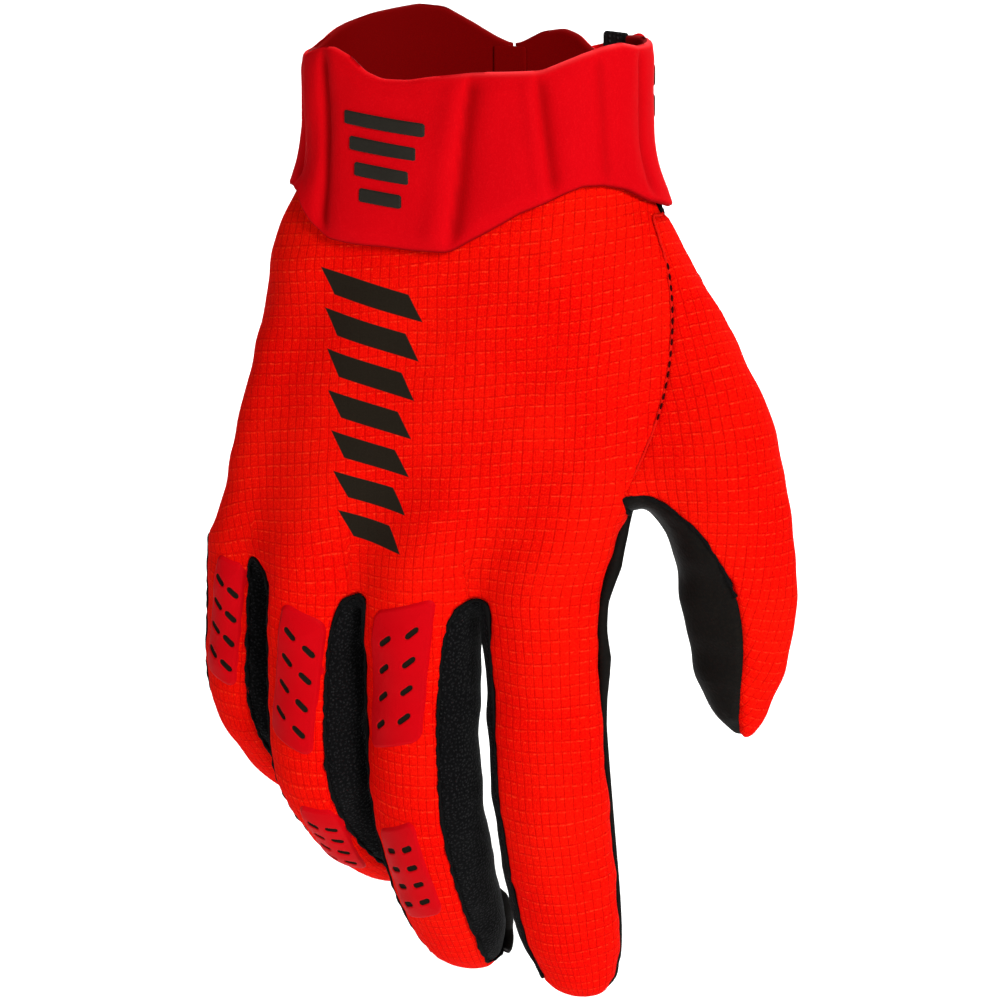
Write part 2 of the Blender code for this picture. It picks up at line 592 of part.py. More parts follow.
def make_closure(tree):
    seat = CUFF_FIT + CUFF_WALL + TAB_FIT
    make_patch("closure_tab", tree, TAB_PATCH, seat, TAB_WALL, "cuff_red", 15, slope=TAB_SLOPE)
    make_patch("closure_hook", tree, HOOK_PATCH, seat - SEAM_GAP - HOOK_WALL, HOOK_WALL, "hook_black", 3)
    for name, patch in GRIP_PATCHES.items():
        make_patch(name, tree, patch, seat + TAB_WALL + SEAM_GAP, GRIP_WALL, "rubber_black", 5, 3)


# Plain raised bars on the back of the cuff
def make_badge(tree):
    angle, share = BADGE_PLACE
    seat = CUFF_FIT + CUFF_WALL + PAD_FIT
    radius = WRIST_WIDTH / 2
    for bar in range(BADGE_BARS):
        length = BADGE_BAR_LENGTH * (1 - BADGE_TAPER * bar)
        middle = -share * CUFF_HEIGHT - (bar - (BADGE_BARS - 1) / 2) * BADGE_PITCH
        turn = np.degrees(length / 2 / radius)
        top, low = (middle + BADGE_BAR_WIDTH / 2) / CUFF_HEIGHT, (middle - BADGE_BAR_WIDTH / 2) / CUFF_HEIGHT
        patch = (angle - turn, angle + turn, top, low)
        make_patch(f"cuff_badge_{bar + 1}", tree, patch, seat, BADGE_WALL, "rubber_black", 5, 3)


# A point over a finger, at a distance along it and an angle round it, lifted off the surface
def pad_point(tree, finger, distance, angle, offset):
    centre, outward, side = finger_line(finger, distance)
    turn = np.radians(angle)
    place, normal = cast_out(tree, centre[0], outward[0] * np.cos(turn) + side * np.sin(turn))
    return place + normal * offset


# The flat layout of a pad in shares: a lattice round its slots, with a ring of faces round each slot.
# Between the pad's two ends the lattice follows the slant of the slots' rows.
def pad_layout(wide, long, lean, slant):
    across, along = PAD_SLOTS
    first, last = PAD_SLOT_ROWS
    ends = (0, 2 * along)
    levels = [0, *np.linspace(first, last, 2 * along - 1), 1]
    lattice = {}
    points, faces = [], []
    stops = [column / (2 * across) + PAD_DRAW * (column % 2) * np.sign(across - column)
             for column in range(2 * across + 1)]
    for column, stop in enumerate(stops):
        shift = stop - 0.5
        for row in range(2 * along + 1):
            if column % 2 and row % 2:
                continue
            drawn = PAD_CORNER * (column in (0, 2 * across) and row in ends)
            lattice[column, row] = len(points)
            points.append((stop + drawn * np.sign(across - column) / (2 * across),
                           levels[row] + drawn * np.sign(along - row) / (2 * along)
                           + slant * shift * wide / long * (row not in ends)))
    steps = ((-1, -1), (-1, 0), (-1, 1), (0, 1), (1, 1), (1, 0), (1, -1), (0, -1))
    for column in range(1, 2 * across, 2):
        shift = (stops[column] - 0.5) * wide * slant
        for row in range(1, 2 * along, 2):
            ring = []
            for step_x, step_y in steps:
                x = step_x * (SLOT_LENGTH / 2 - SLOT_WIDTH / 4 * abs(step_y))
                y = step_y * SLOT_WIDTH / 2 + lean * x + shift
                ring.append(len(points))
                points.append((stops[column] + x / wide, levels[row] + y / long))
            around = [lattice[column + step_x, row + step_y] for step_x, step_y in steps]
            for place in range(len(steps)):
                after = (place + 1) % len(steps)
                faces.append((around[place], ring[place], ring[after], around[after]))
    return points, faces


def make_pad(name, tree):
    pad = dict(zip(PAD_COLUMNS, PADS[name]))
    finger = finger_values(pad["finger"])
    length = finger["length"] * FINGER_LENGTH
    long = (pad["end"] - pad["start"]) * length
    radius = (finger["width"] * FINGER_WIDTH + finger["thick"] * FINGER_DEPTH) / 4
    span = (pad["in_top"] - pad["out_top"] + pad["in_low"] - pad["out_low"]) / 2
    points, faces = pad_layout(np.radians(span) * radius, long, pad["lean"], pad["slant"])
    inner, outer = [], []
    for across, along in points:
        top = pad["in_top"] + (pad["out_top"] - pad["in_top"]) * across
        low = pad["in_low"] + (pad["out_low"] - pad["in_low"]) * across
        angle = top + (low - top) * along
        distance = pad["start"] * length + along * long + pad["skew"] * length * (across - 0.5)
        inner.append(pad_point(tree, pad["finger"], distance, angle, PAD_FIT))
        outer.append(pad_point(tree, pad["finger"], distance, angle, PAD_FIT + PAD_WALL))
    solid, solid_faces = sheet_solid(np.array(outer), np.array(inner), faces)
    add_object(name, solid, solid_faces, "pad_red")


def build_glove():
    clear_scene()
    cage = build_cage()
    surface = smooth_surface(cage, PANEL_LEVELS)
    for name in PANELS:
        make_panel(name, surface)
    tree = surface_tree(cage)
    make_cuff_piece("cuff_band", tree, *CUFF_BAND)
    make_cuff_piece("cuff_tongue", tree, *CUFF_TONGUE)
    make_closure(tree)
    make_badge(tree)
    for name in PADS:
        make_pad(name, tree)


build_glove()
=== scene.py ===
import bpy
import numpy as np
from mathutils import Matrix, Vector
from mathutils.bvhtree import BVHTree


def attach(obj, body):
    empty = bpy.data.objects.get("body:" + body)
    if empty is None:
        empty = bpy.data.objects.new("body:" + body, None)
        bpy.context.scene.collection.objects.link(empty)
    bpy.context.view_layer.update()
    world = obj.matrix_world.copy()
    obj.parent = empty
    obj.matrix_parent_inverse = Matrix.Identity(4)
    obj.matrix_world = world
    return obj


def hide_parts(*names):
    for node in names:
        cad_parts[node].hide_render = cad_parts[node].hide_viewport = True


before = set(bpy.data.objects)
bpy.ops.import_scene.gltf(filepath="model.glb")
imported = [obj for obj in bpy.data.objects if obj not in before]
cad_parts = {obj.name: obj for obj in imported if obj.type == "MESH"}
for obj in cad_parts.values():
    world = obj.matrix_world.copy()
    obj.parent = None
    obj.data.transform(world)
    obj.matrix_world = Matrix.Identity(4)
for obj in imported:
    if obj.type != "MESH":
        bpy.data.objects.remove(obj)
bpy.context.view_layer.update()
mm = 0.001
print("frame loaded:", len(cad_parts), "nodes")


# The photograph's view in degrees, metres and pixels, with the sensor in millimetres
view = {"turn": 21.0, "tilt": 12.0, "distance": 1.1, "right": 0.005435, "up": -0.0952,
        "pixelsPerMetre": 4600, "picture": 1000, "sensor": 36.0, "clipEnd": 30}


def addObject(name, data):
    result = bpy.data.objects.new(name, data)
    bpy.context.scene.collection.objects.link(result)
    return result


def aim(way):
    # The rotation that points the front of a camera or lamp along way
    return Vector(way).to_track_quat("-Z", "Y").to_euler()


def setCamera():
    # right, forward and up are the axes of a view turned by turn and tilted down by tilt
    turn, tilt = np.radians([view["turn"], view["tilt"]])
    right = np.array([np.cos(turn), np.sin(turn), 0])
    forward = np.array([-np.sin(turn) * np.cos(tilt), np.cos(turn) * np.cos(tilt), -np.sin(tilt)])
    up = np.cross(right, forward)
    data = bpy.data.cameras.new("photoCamera")
    data.sensor_width = view["sensor"]
    data.lens = view["pixelsPerMetre"] * view["distance"] / view["picture"] * view["sensor"]
    data.clip_end = view["clipEnd"]
    camera = addObject("photoCamera", data)
    camera.location = right * view["right"] + up * view["up"] - forward * view["distance"]
    camera.rotation_euler = aim(forward)
    bpy.context.scene.camera = camera
    # The standard transform keeps the strong reds of the photograph
    bpy.context.scene.view_settings.view_transform = "Standard"


studio = {"floorHeight": -0.62, "floorSize": 22.0, "floorColour": (0.93, 0.93, 0.93),
          "spotColour": (0.95, 0.95, 0.95), "spotScale": 3.0, "floorRoughness": 0.9,
          "skyColour": (1.0, 1.0, 1.0), "skyStrength": 0.09,
          # place, target, size across and power of each round lamp
          "lamps": {"keySoftbox": ((1.20, -1.15, 0.62), (0.0, 0.0, -0.09), 0.55, 29.0),
                    "fillSoftbox": ((-1.0, -1.3, 0.35), (0.0, 0.0, -0.10), 0.9, 3.4),
                    "topSoftbox": ((-0.1, 0.35, 1.3), (0.0, 0.0, -0.05), 0.9, 3.0),
                    "floorWash": ((0.0, 2.2, 2.4), (0.0, 2.4, -0.6), 3.5, 150.0),
                    "farFloorWash": ((0.0, 5.6, 2.6), (0.0, 5.6, -0.6), 4.5, 330.0)}}


def addNode(tree, kind, inputs=(), **settings):
    node = tree.nodes.new(kind)
    for key, value in settings.items():
        setattr(node, key, value)
    for key, value in dict(inputs).items():
        if isinstance(value, bpy.types.NodeSocket):
            tree.links.new(value, node.inputs[key])
        else:
            node.inputs[key].default_value = value
    return node


def startMaterial(name, roughness, **sockets):
    material = bpy.data.materials.new(name)
    material.use_nodes = True
    inputs = material.node_tree.nodes["Principled BSDF"].inputs
    inputs["Roughness"].default_value = roughness
    for key, value in sockets.items():
        inputs[key.replace("_", " ")].default_value = value
    return material, material.node_tree


def finishMaterial(material, colour, bump=None, roughness=None):
    # Links the colour, a bump of height, strength and distance, and a roughness that varies
    tree = material.node_tree
    inputs = tree.nodes["Principled BSDF"].inputs
    tree.links.new(colour, inputs["Base Color"])
    if bump is not None:
        node = addNode(tree, "ShaderNodeBump", dict(zip(("Height", "Strength", "Distance"), bump)))
        tree.links.new(node.outputs["Normal"], inputs["Normal"])
    if roughness is not None:
        tree.links.new(roughness, inputs["Roughness"])
    return material


def mixNode(tree, share, first, second):
    def full(colour):
        return colour if isinstance(colour, bpy.types.NodeSocket) else (*colour, 1.0)
    inputs = {0: share, 6: full(first), 7: full(second)}
    return addNode(tree, "ShaderNodeMix", inputs, data_type="RGBA").outputs[2]


def setStudio():
    material, tree = startMaterial("paperFloor", studio["floorRoughness"])
    spots = addNode(tree, "ShaderNodeTexNoise", {"Scale": studio["spotScale"], "Detail": 2.0})
    tone = mixNode(tree, spots.outputs["Fac"], studio["floorColour"], studio["spotColour"])
    half, height = studio["floorSize"] / 2, studio["floorHeight"]
    corners = [(x * half, y * half, height) for x, y in ((-1, -1), (1, -1), (1, 1), (-1, 1))]
    mesh = bpy.data.meshes.new("floor")
    mesh.from_pydata(corners, [], [(0, 1, 2, 3)])
    mesh.materials.append(finishMaterial(material, tone))
    addObject("floor", mesh)
    world = bpy.data.worlds.new("studio")
    world.use_nodes = True
    sky = world.node_tree.nodes["Background"]
    sky.inputs["Color"].default_value = (*studio["skyColour"], 1)
    sky.inputs["Strength"].default_value = studio["skyStrength"]
    bpy.context.scene.world = world
    for name, (place, target, size, power) in studio["lamps"].items():
        lamp = bpy.data.lights.new(name, "AREA")
        lamp.shape = "DISK"
        lamp.size = size
        lamp.energy = power
        lampObject = addObject(name, lamp)
        lampObject.location = place
        lampObject.rotation_euler = aim(Vector(target) - Vector(place))


setCamera()
setStudio()
print("camera, floor and light set")


def makePiece(name, points, faceGroups, material, uv=None, masks=None):
    # points: rows of x, y, z. faceGroups: arrays of faces, each with the same number of corners
    mesh = bpy.data.meshes.new(name)
    mesh.vertices.add(len(points))
    mesh.vertices.foreach_set("co", np.asarray(points, np.float32).ravel())
    sizes = np.concatenate([np.full(len(group), group.shape[1]) for group in faceGroups])
    corners = np.concatenate([group.ravel() for group in faceGroups]).astype(np.int32)
    mesh.loops.add(len(corners))
    mesh.loops.foreach_set("vertex_index", corners)
    mesh.polygons.add(len(sizes))
    mesh.polygons.foreach_set("loop_start", np.concatenate([[0], np.cumsum(sizes)[:-1]]).astype(np.int32))
    mesh.update(calc_edges=True)
    if uv is not None:
        layer = mesh.uv_layers.new(name="cloth")
        layer.data.foreach_set("uv", np.asarray(uv, np.float32)[corners].ravel())
    for mask, values in (masks or {}).items():
        attribute = mesh.attributes.new(mask, "FLOAT", "POINT")
        attribute.data.foreach_set("value", np.asarray(values, np.float32).ravel())
    mesh.shade_smooth()
    mesh.materials.append(material)
    piece = addObject(name, mesh)
    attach(piece, "root")
    return piece


def gridFaces(rows, columns, closed=False):
    # Faces of a grid whose point (row, column) has number row * columns + column;
    # closed joins the last column to the first
    row = np.arange(rows - 1)[:, None]
    column = np.arange(columns if closed else columns - 1)[None, :]
    after = (column + 1) % columns
    faces = np.stack(np.broadcast_arrays(row * columns + column, row * columns + after,
                                         (row + 1) * columns + after, (row + 1) * columns + column), -1)
    return faces.reshape(-1, 4)


def slabFaces(rows, columns):
    # Closed faces of a slab: an outer grid, an inner grid after it, and the rim between them.
    # The outer grid's faces point outwards when its rows cross its columns to the left
    count = rows * columns
    outer = gridFaces(rows, columns)
    inner = outer[:, ::-1] + count
    index = np.arange(count).reshape(rows, columns)
    ring = np.concatenate([index[0], index[1:, -1], index[-1, -2::-1], index[-2:0:-1, 0]])
    after = np.roll(ring, -1)
    rim = np.stack([after, ring, ring + count, after + count], -1)
    return np.concatenate([outer, inner, rim])


def smoothStep(value):
    # 3 v^2 - 2 v^3 between 0 and 1
    value = np.clip(value, 0, 1)
    return value * value * (3 - 2 * value)


def ripple(points, wavelength, seed, count=9):
    # Smooth noise from -1 to 1: the mean of count plane waves of that wavelength in seeded directions
    rng = np.random.default_rng(seed)
    directions = rng.normal(size=(count, points.shape[-1]))
    directions /= np.linalg.norm(directions, axis=1, keepdims=True)
    lengths = wavelength * rng.uniform(0.75, 1.4, count)
    phase = rng.uniform(0, 2 * np.pi, count)
    waves = np.sin(points @ (directions / lengths[:, None] * 2 * np.pi).T + phase)
    return waves.sum(-1) / np.sqrt(count)


def unit(vectors):
    return vectors / np.maximum(np.linalg.norm(vectors, axis=-1, keepdims=True), 1e-12)


def readAlong(where, lengths, *paths):
    # Each path's points read at the places where, with lengths the place of every point
    return [np.stack([np.interp(where, lengths, path[:, axis]) for axis in range(3)], -1) for path in paths]


def cubicWeights(share):
    # Weights of the four samples round a place between the middle two, for a smooth curve through them
    s = share[..., None]
    return np.concatenate([-s + 2 * s**2 - s**3, 2 - 5 * s**2 + 3 * s**3,
                           s + 4 * s**2 - 3 * s**3, -s**2 + s**3], -1) / 2


def lookUp(table, low, step, x, y):
    # Smooth reading of a table of samples at (x, y); low and step give the table's two axes
    place = [(np.asarray(value) - low[axis]) / step[axis] for axis, value in enumerate((x, y))]
    cell, weights = [], []
    for axis, value in enumerate(place):
        whole = np.clip(np.floor(value), 0, table.shape[axis] - 2).astype(int)
        weights.append(cubicWeights(np.clip(value - whole, 0, 1)))
        cell.append(np.clip(whole[..., None] + np.arange(-1, 3), 0, table.shape[axis] - 1))
    samples = table[cell[0][..., :, None], cell[1][..., None, :]]
    return np.einsum("...i,...j,...ijk->...k", weights[0], weights[1], samples)


# The hand's form, from the same rings and sizes as the solids
hand = {"wristWidth": 74 * mm, "wristDepth": 40 * mm, "length": 104 * mm, "knuckleDepth": 32 * mm,
        "palmDrop": 12 * mm, "width": 3.6 * (27.2 + 1.4) * mm, "power": 2.35, "panelTop": 14 * mm,
        "backAngles": (74, -66), "palmAngles": (246, 106), "edgeAngle": -90, "columns": 12,
        # height, drop, across, width, back, palm, roots, back seam, palm seam
        "rows": ((14 / 104, 0, 0, 0, 0, 0, 0, 6, 0), (0.245, 0, -0.002, 0.09, 0, 0, 0, 14, 4),
                 (0.335, 0.05, -0.015, 0.54, -0.10, -0.05, 0.01, 13, 8),
                 (0.500, 0.20, 0, 0.78, 0.30, 0.15, 0.06, 6, 14),
                 (0.695, 0.44, -0.024, 0.99, 0.46, 0.42, 0.16, 0, 20),
                 (0.862, 0.68, -0.060, 0.84, 0.72, 0.72, 0.42, 0, 14),
                 (1.0, 1.0, -0.102, 0.66, 1.0, 0.88, 0.74, 0, 0))}
finger = {"width": 27.2 * mm, "depth": 25.2 * mm, "length": 110.5 * mm, "swell": 1 / 0.915,
          "rootSlant": 13 * mm, "bendLength": 15 * mm, "joints": (0.47, 0.75), "tip": 1.055,
          "flat": 0.6, "bow": 0.7, "walk": (-0.2, 1.2, 401),
          "rings": (0.0, 0.11, 0.28, 0.45, 0.61, 0.79, 0.97),
          "profile": ((0, 1, 1.08), (0.12, 0.98, 1.00), (0.30, 0.95, 0.94), (0.47, 0.98, 0.97),
                      (0.62, 0.94, 0.92), (0.78, 0.90, 0.86), (0.90, 0.83, 0.76), (1, 0.64, 0.52)),
          # across, depth, height, roll, splay, length, width, thick, three bends, four seam angles, the
          # degrees the back seams gain half way down, how much the two sides are flattened at the root, and
          # the degrees the inner palm seam lies nearer the back there
          "index": (0.153, -0.016, 1.106, -2, 0.8, 0.946, 1, 1, 5, 13, 8, 60, -46, 94, -125, 0, -8, 0, 0, 18),
          "middle": (-0.124, -0.031, 1.125, 2, -2.6, 1, 1, 1, 8, 21, 13, 53, -46, 128, -128,
                     -16, -27, 0, 0.06, 0),
          "ring": (-0.374, 0.063, 1.135, 15, -6.5, 0.923, 0.956, 0.984, 8, 36, 22, 56, -28, 128, -128,
                   -16, -19, 0.06, 0.25, 0),
          "little": (-0.547, 0.297, 1.048, 28, -12.3, 0.824, 0.853, 0.889, 5, 36, 20, 44, -42, 128, -128,
                     0, 0, 0.25, 0, 0)}
thumb = {"length": 70.5 * mm, "width": 29.6 * mm, "depth": 25 * mm, "root": 0.798, "swell": 1 / 0.96,
         "tip": (0.524, 0.766, 1.0), "seam": 5, "closing": (0.25, 0.5, 0.75), "hole": (1, 5),
         # across, depth, down, wide, thick, and the direction of the outer edge
         "sections": ((0.520, 0.210, 0.030, 1.290, 1.14, 0.71, -0.06, 0.70),
                      (0.536, 0.313, 0.215, 1.130, 1.08, 0.80, -0.08, 0.55),
                      (0.553, 0.438, 0.411, 1.000, 1.00, 0.93, -0.10, 0.30),
                      (0.549, 0.547, 0.596, 0.919, 0.88, 0.98, -0.10, 0.08),
                      (0.530, 0.656, 0.787, 0.689, 0.68, 0.98, -0.10, -0.10),
                      (0.525, 0.734, 0.936, 0.351, 0.36, 0.97, -0.10, -0.20)),
         "angles": ((0, 27, 50, 72, 95, 122, 160, 204, 238, 268, 298, 328),
                    (0, 20, 38, 54, 70, 90, 132, 178, 212, 244, 276, 312),
                    (0, 16, 30, 43, 56, 70, 116, 160, 198, 232, 268, 308),
                    (0, 14, 27, 39, 51, 63, 108, 154, 194, 228, 266, 307),
                    (0, 14, 27, 39, 51, 62, 108, 154, 194, 228, 266, 307),
                    (0, 14, 27, 39, 51, 62, 108, 154, 194, 228, 266, 307))}
fingerNames = ("index", "middle", "ring", "little")
panelNames = ("back_panel", "palm_panel", "gusset_index_middle", "gusset_middle_ring", "gusset_ring_little",
              "thumb_back", "thumb_inner")


def fingerLine(name, distance):
    # The middle line of a finger: it starts at its root, runs down and turns by each bend over a
    # short stretch at its joint; the place is the running sum of its directions
    (across, depth, height, roll, splay, share, _, _, bend1, bend2, bend3, *_) = finger[name]
    length = share * finger["length"]
    roll, splay = np.radians([roll, splay])
    back = np.array([-np.sin(roll), -np.cos(roll), 0])
    level = np.array([np.cos(roll), -np.sin(roll), 0])
    up = np.array([0, 0, 1.0])
    down = level * np.sin(splay) - up * np.cos(splay)
    side = level * np.cos(splay) + up * np.sin(splay)
    walk = np.linspace(*finger["walk"]) * length
    joints = [smoothStep((walk - joint * length) / finger["bendLength"] + 0.5) for joint in finger["joints"]]
    bend = np.radians(bend1 + bend2 * joints[0] + bend3 * joints[1])[:, None]
    along = down * np.cos(bend) - back * np.sin(bend)
    outward = back * np.cos(bend) + down * np.sin(bend)
    centre = np.cumsum(along * (walk[1] - walk[0]), axis=0)
    centre += np.array([across * hand["width"], depth * hand["knuckleDepth"],
                        -height * hand["length"]]) - centre[np.argmin(np.abs(walk))]
    return *readAlong(distance, walk, centre, outward), side


def fingerRing(name, share):
    # Eight points round a finger: an ellipse whose width and thickness follow the profile, with its
    # sides flattened at the root against the next finger
    length, width, thick = finger[name][5:8]
    backIn, backOut, palmIn, palmOut, bowIn, bowOut, flatIn, flatOut, palmRise = finger[name][11:]
    fade = 1 - smoothStep(share / finger["flat"])
    palmIn = palmIn - palmRise * fade
    bow = np.sin(np.pi * share**finger["bow"])
    backIn, backOut = backIn + bow * bowIn, backOut + bow * bowOut
    angle = np.radians([backIn, (backIn + backOut) / 2, backOut, (backOut + palmOut) / 2, palmOut,
                        180 + (palmIn + palmOut) / 2, palmIn, (palmIn + backIn) / 2])
    shares, widths, depths = np.array(finger["profile"]).T
    wide = np.interp(share, shares, widths) * width * finger["width"] / 2 * finger["swell"]
    deep = np.interp(share, shares, depths) * thick * finger["depth"] / 2 * finger["swell"]
    flat = np.array([0, 0, 0, flatOut, flatOut, 0, flatIn, flatIn])
    wide = wide * (1 - flat * fade)
    slant = finger["rootSlant"] * (1 - share)**3 * (1 - np.cos(angle)) / 2
    distance = share * length * finger["length"] + slant
    centre, outward, side = fingerLine(name, distance)
    return centre + outward * (deep * np.cos(angle))[:, None] + side * (wide * np.sin(angle))[:, None]


def handSection(row, roots):
    # A superellipse between wrist and knuckles, mixed with the outline of the finger roots
    height, drop, across, width, back, palm, share, backSeam, palmSeam = row
    backs = np.linspace(hand["backAngles"][0] + backSeam, hand["backAngles"][1], hand["columns"])
    palms = np.linspace(hand["palmAngles"][0], hand["palmAngles"][1] + palmSeam, hand["columns"])
    angle = np.radians(np.concatenate([backs, [hand["edgeAngle"]], palms, [(backs[0] + palms[-1]) / 2]]))
    half = (hand["wristWidth"] + width * (hand["width"] - hand["wristWidth"])) / 2
    deeper = hand["knuckleDepth"] - hand["wristDepth"]
    depths = [(hand["wristDepth"] + part * deeper) / 2 for part in (back, palm)]
    cosine, sine = np.cos(angle), np.sin(angle)
    x = across * hand["width"] + half * np.sign(sine) * np.abs(sine)**(2 / hand["power"])
    y = -np.where(cosine > 0, *depths) * np.sign(cosine) * np.abs(cosine)**(2 / hand["power"])
    z = -height * hand["length"] - drop * hand["palmDrop"] * (1 - cosine) / 2
    return np.stack([x * (1 - share) + roots[:, 0] * share, y * (1 - share) + roots[:, 1] * share, z], -1)


def handCage():
    # Rings of the fingers, the hand and the thumb, joined face by face; each face has its panel
    points, faces, panels = [], [], []

    def addRing(ring):
        points.extend(ring)
        return list(range(len(points) - len(ring), len(points)))

    def addFace(corners, panel):
        faces.append(corners)
        panels.append(panelNames.index(panel))

    def addTube(rings, panelOf):
        for upper, lower in zip(rings, rings[1:]):
            for place in range(len(upper)):
                after = (place + 1) % len(upper)
                addFace((upper[place], upper[after], lower[after], lower[place]), panelOf(place))

    def gusset(place):
        return ("back_panel", *panelNames[2:5], "palm_panel")[place]

    roots = []
    for order, name in enumerate(fingerNames):
        panelList = ["back_panel"] * 2 + [gusset(order + 1)] * 2 + ["palm_panel"] * 2 + [gusset(order)] * 2
        rings = [addRing(fingerRing(name, share)) for share in finger["rings"]]
        addTube(rings, lambda place: panelList[place])
        tip = addRing(fingerLine(name, np.array([finger["tip"] * finger[name][5] * finger["length"]]))[0])[0]
        end = rings[-1]
        addFace((end[0], end[1], tip, end[7]), "back_panel")
        addFace((end[1], end[2], end[3], tip), "back_panel")
        addFace((end[7], tip, end[5], end[6]), "palm_panel")
        addFace((tip, end[3], end[4], end[5]), "palm_panel")
        roots.append(rings[0])
    for order, (left, right) in enumerate(zip(roots, roots[1:])):
        addFace((left[2], right[0], right[7], left[3]), gusset(order + 1))
        addFace((left[3], right[7], right[6], left[4]), gusset(order + 1))

    crotch = [point for root in roots for point in root[:3]] + [roots[-1][3]]
    crotch += [point for root in roots[::-1] for point in root[4:7]] + [roots[0][7]]
    outline = np.array(points)[crotch]
    rows = [addRing(handSection(row, outline)) for row in hand["rows"]] + [crotch]
    count = len(crotch)
    first, last = thumb["hole"]
    for row in range(len(rows) - 1):
        for place in range(count - 2 if first <= row < last else count):
            after = (place + 1) % count
            onBack = place < hand["columns"] or place == count - 1 or (place == count - 2 and row >= last)
            addFace((rows[row][place], rows[row][after], rows[row + 1][after], rows[row + 1][place]),
                    "back_panel" if onBack else "palm_panel")

    base = [rows[first][-1]] + [rows[row][0] for row in range(first, last + 1)]
    base += [rows[last][-1]] + [rows[row][-2] for row in range(last, first - 1, -1)]
    scale = np.array([hand["width"], hand["knuckleDepth"], -thumb["length"]])
    start = np.array([0, 0, -thumb["root"] * hand["length"]])
    centres = [np.array(row[:3]) * scale + start for row in thumb["sections"]]
    tip = np.array(thumb["tip"]) * scale + start
    line = [2 * centres[0] - centres[1]] + centres + [tip]
    rings = [base]
    for place, (row, angles) in enumerate(zip(thumb["sections"], thumb["angles"])):
        out = unit(np.array(row[5:]))
        back = unit(np.cross(line[place + 2] - line[place], out))
        turn = np.radians(angles)
        rings.append(addRing(centres[place]
                             + np.outer(np.cos(turn) * row[3] * thumb["width"] / 2 * thumb["swell"], out)
                             + np.outer(np.sin(turn) * row[4] * thumb["depth"] / 2 * thumb["swell"], back)))
    seam, end = thumb["seam"], rings[-1]
    addTube(rings, lambda place: "thumb_inner" if seam <= place < len(end) - 1 else "thumb_back")
    corners = np.array(points)[end]
    rise = tip - corners.mean(axis=0)
    inner = []
    for share in thumb["closing"]:
        chord = corners[seam] * (1 - share) + corners[-1] * share
        inner += addRing([chord + rise * np.sin(np.pi * share)**0.5])
    closing = [end[seam], *inner, end[-1]]
    outer, under = end[seam - 1::-1], end[seam + 1:-1]
    for place in range(4):
        addFace((outer[place], closing[place], closing[place + 1], outer[place + 1]), "thumb_back")
        addFace((closing[place], under[place], under[place + 1], closing[place + 1]), "thumb_inner")
    return np.array(points), faces, panels


def subdivide(mesh, levels, onLimit):
    guide = addObject("handForm", mesh)
    modifier = guide.modifiers.new("smooth", "SUBSURF")
    modifier.levels = modifier.render_levels = levels
    modifier.use_limit_surface = onLimit
    modifier.uv_smooth = "PRESERVE_BOUNDARIES"
    graph = bpy.context.evaluated_depsgraph_get()
    smooth = bpy.data.meshes.new_from_object(guide.evaluated_get(graph), preserve_all_data_layers=True,
                                             depsgraph=graph)
    bpy.data.objects.remove(guide, do_unlink=True)
    return smooth


def readValues(items, key, size, *shape):
    # One number or vector of each item, as rows of that shape
    values = np.empty(len(items) * size, np.int32 if size == 1 else np.float32)
    items.foreach_get(key, values)
    return values.reshape(-1, *shape)


def cutPatterns(mesh):
    # Lays every panel flat as its own cutting pattern, with a seam wherever two panels meet
    edges = readValues(mesh.loops, "edge_index", 1)
    facePanel = np.repeat(readValues(mesh.polygons, "material_index", 1), 4)
    lowest = np.full(len(mesh.edges), len(panelNames))
    highest = np.full(len(mesh.edges), -1)
    np.minimum.at(lowest, edges, facePanel)
    np.maximum.at(highest, edges, facePanel)
    mesh.edges.foreach_set("use_seam", lowest != highest)
    mesh.uv_layers.new(name="cloth")
    guide = addObject("pattern", mesh)
    bpy.context.view_layer.objects.active = guide
    guide.select_set(True)
    bpy.ops.object.mode_set(mode="EDIT")
    bpy.ops.mesh.select_all(action="SELECT")
    bpy.ops.uv.unwrap(method="MINIMUM_STRETCH", iterations=form["unwrapRounds"])
    bpy.ops.object.mode_set(mode="OBJECT")
    result = mesh.copy()
    bpy.data.objects.remove(guide, do_unlink=True)
    return result


def faceAreas(points, faces):
    # Every face as two triangles
    one, two, three = [points[faces[:, corner]] - points[faces[:, 0]] for corner in (1, 2, 3)]
    return (np.linalg.norm(np.cross(one, two), axis=-1) + np.linalg.norm(np.cross(two, three), axis=-1)) / 2


form = {"patternLevels": 2, "surfaceLevels": 2, "unwrapRounds": 40, "blockSize": 3000}


def handSurface():
    points, faces, panels = handCage()
    mesh = bpy.data.meshes.new("handCage")
    mesh.from_pydata(points.tolist(), [], faces)
    for name in panelNames:
        mesh.materials.append(bpy.data.materials.new("pattern_" + name))
    mesh.polygons.foreach_set("material_index", panels)
    mesh.update()
    pattern = cutPatterns(subdivide(mesh, form["patternLevels"], False))
    smooth = subdivide(pattern, form["surfaceLevels"], True)
    return (readValues(smooth.vertices, "co", 3, 3).astype(float),
            readValues(smooth.vertices, "normal", 3, 3).astype(float),
            readValues(smooth.loops, "vertex_index", 1, 4), readValues(smooth.polygons, "material_index", 1),
            readValues(smooth.uv_layers["cloth"].data, "uv", 2, 4, 2).astype(float))


surfacePoints, surfaceNormals, surfaceFaces, surfacePanels, surfaceUv = handSurface()
surfaceTree = BVHTree.FromPolygons(surfacePoints.tolist(), surfaceFaces.tolist())
print("hand form:", len(surfacePoints), "points,", len(surfaceFaces), "faces")


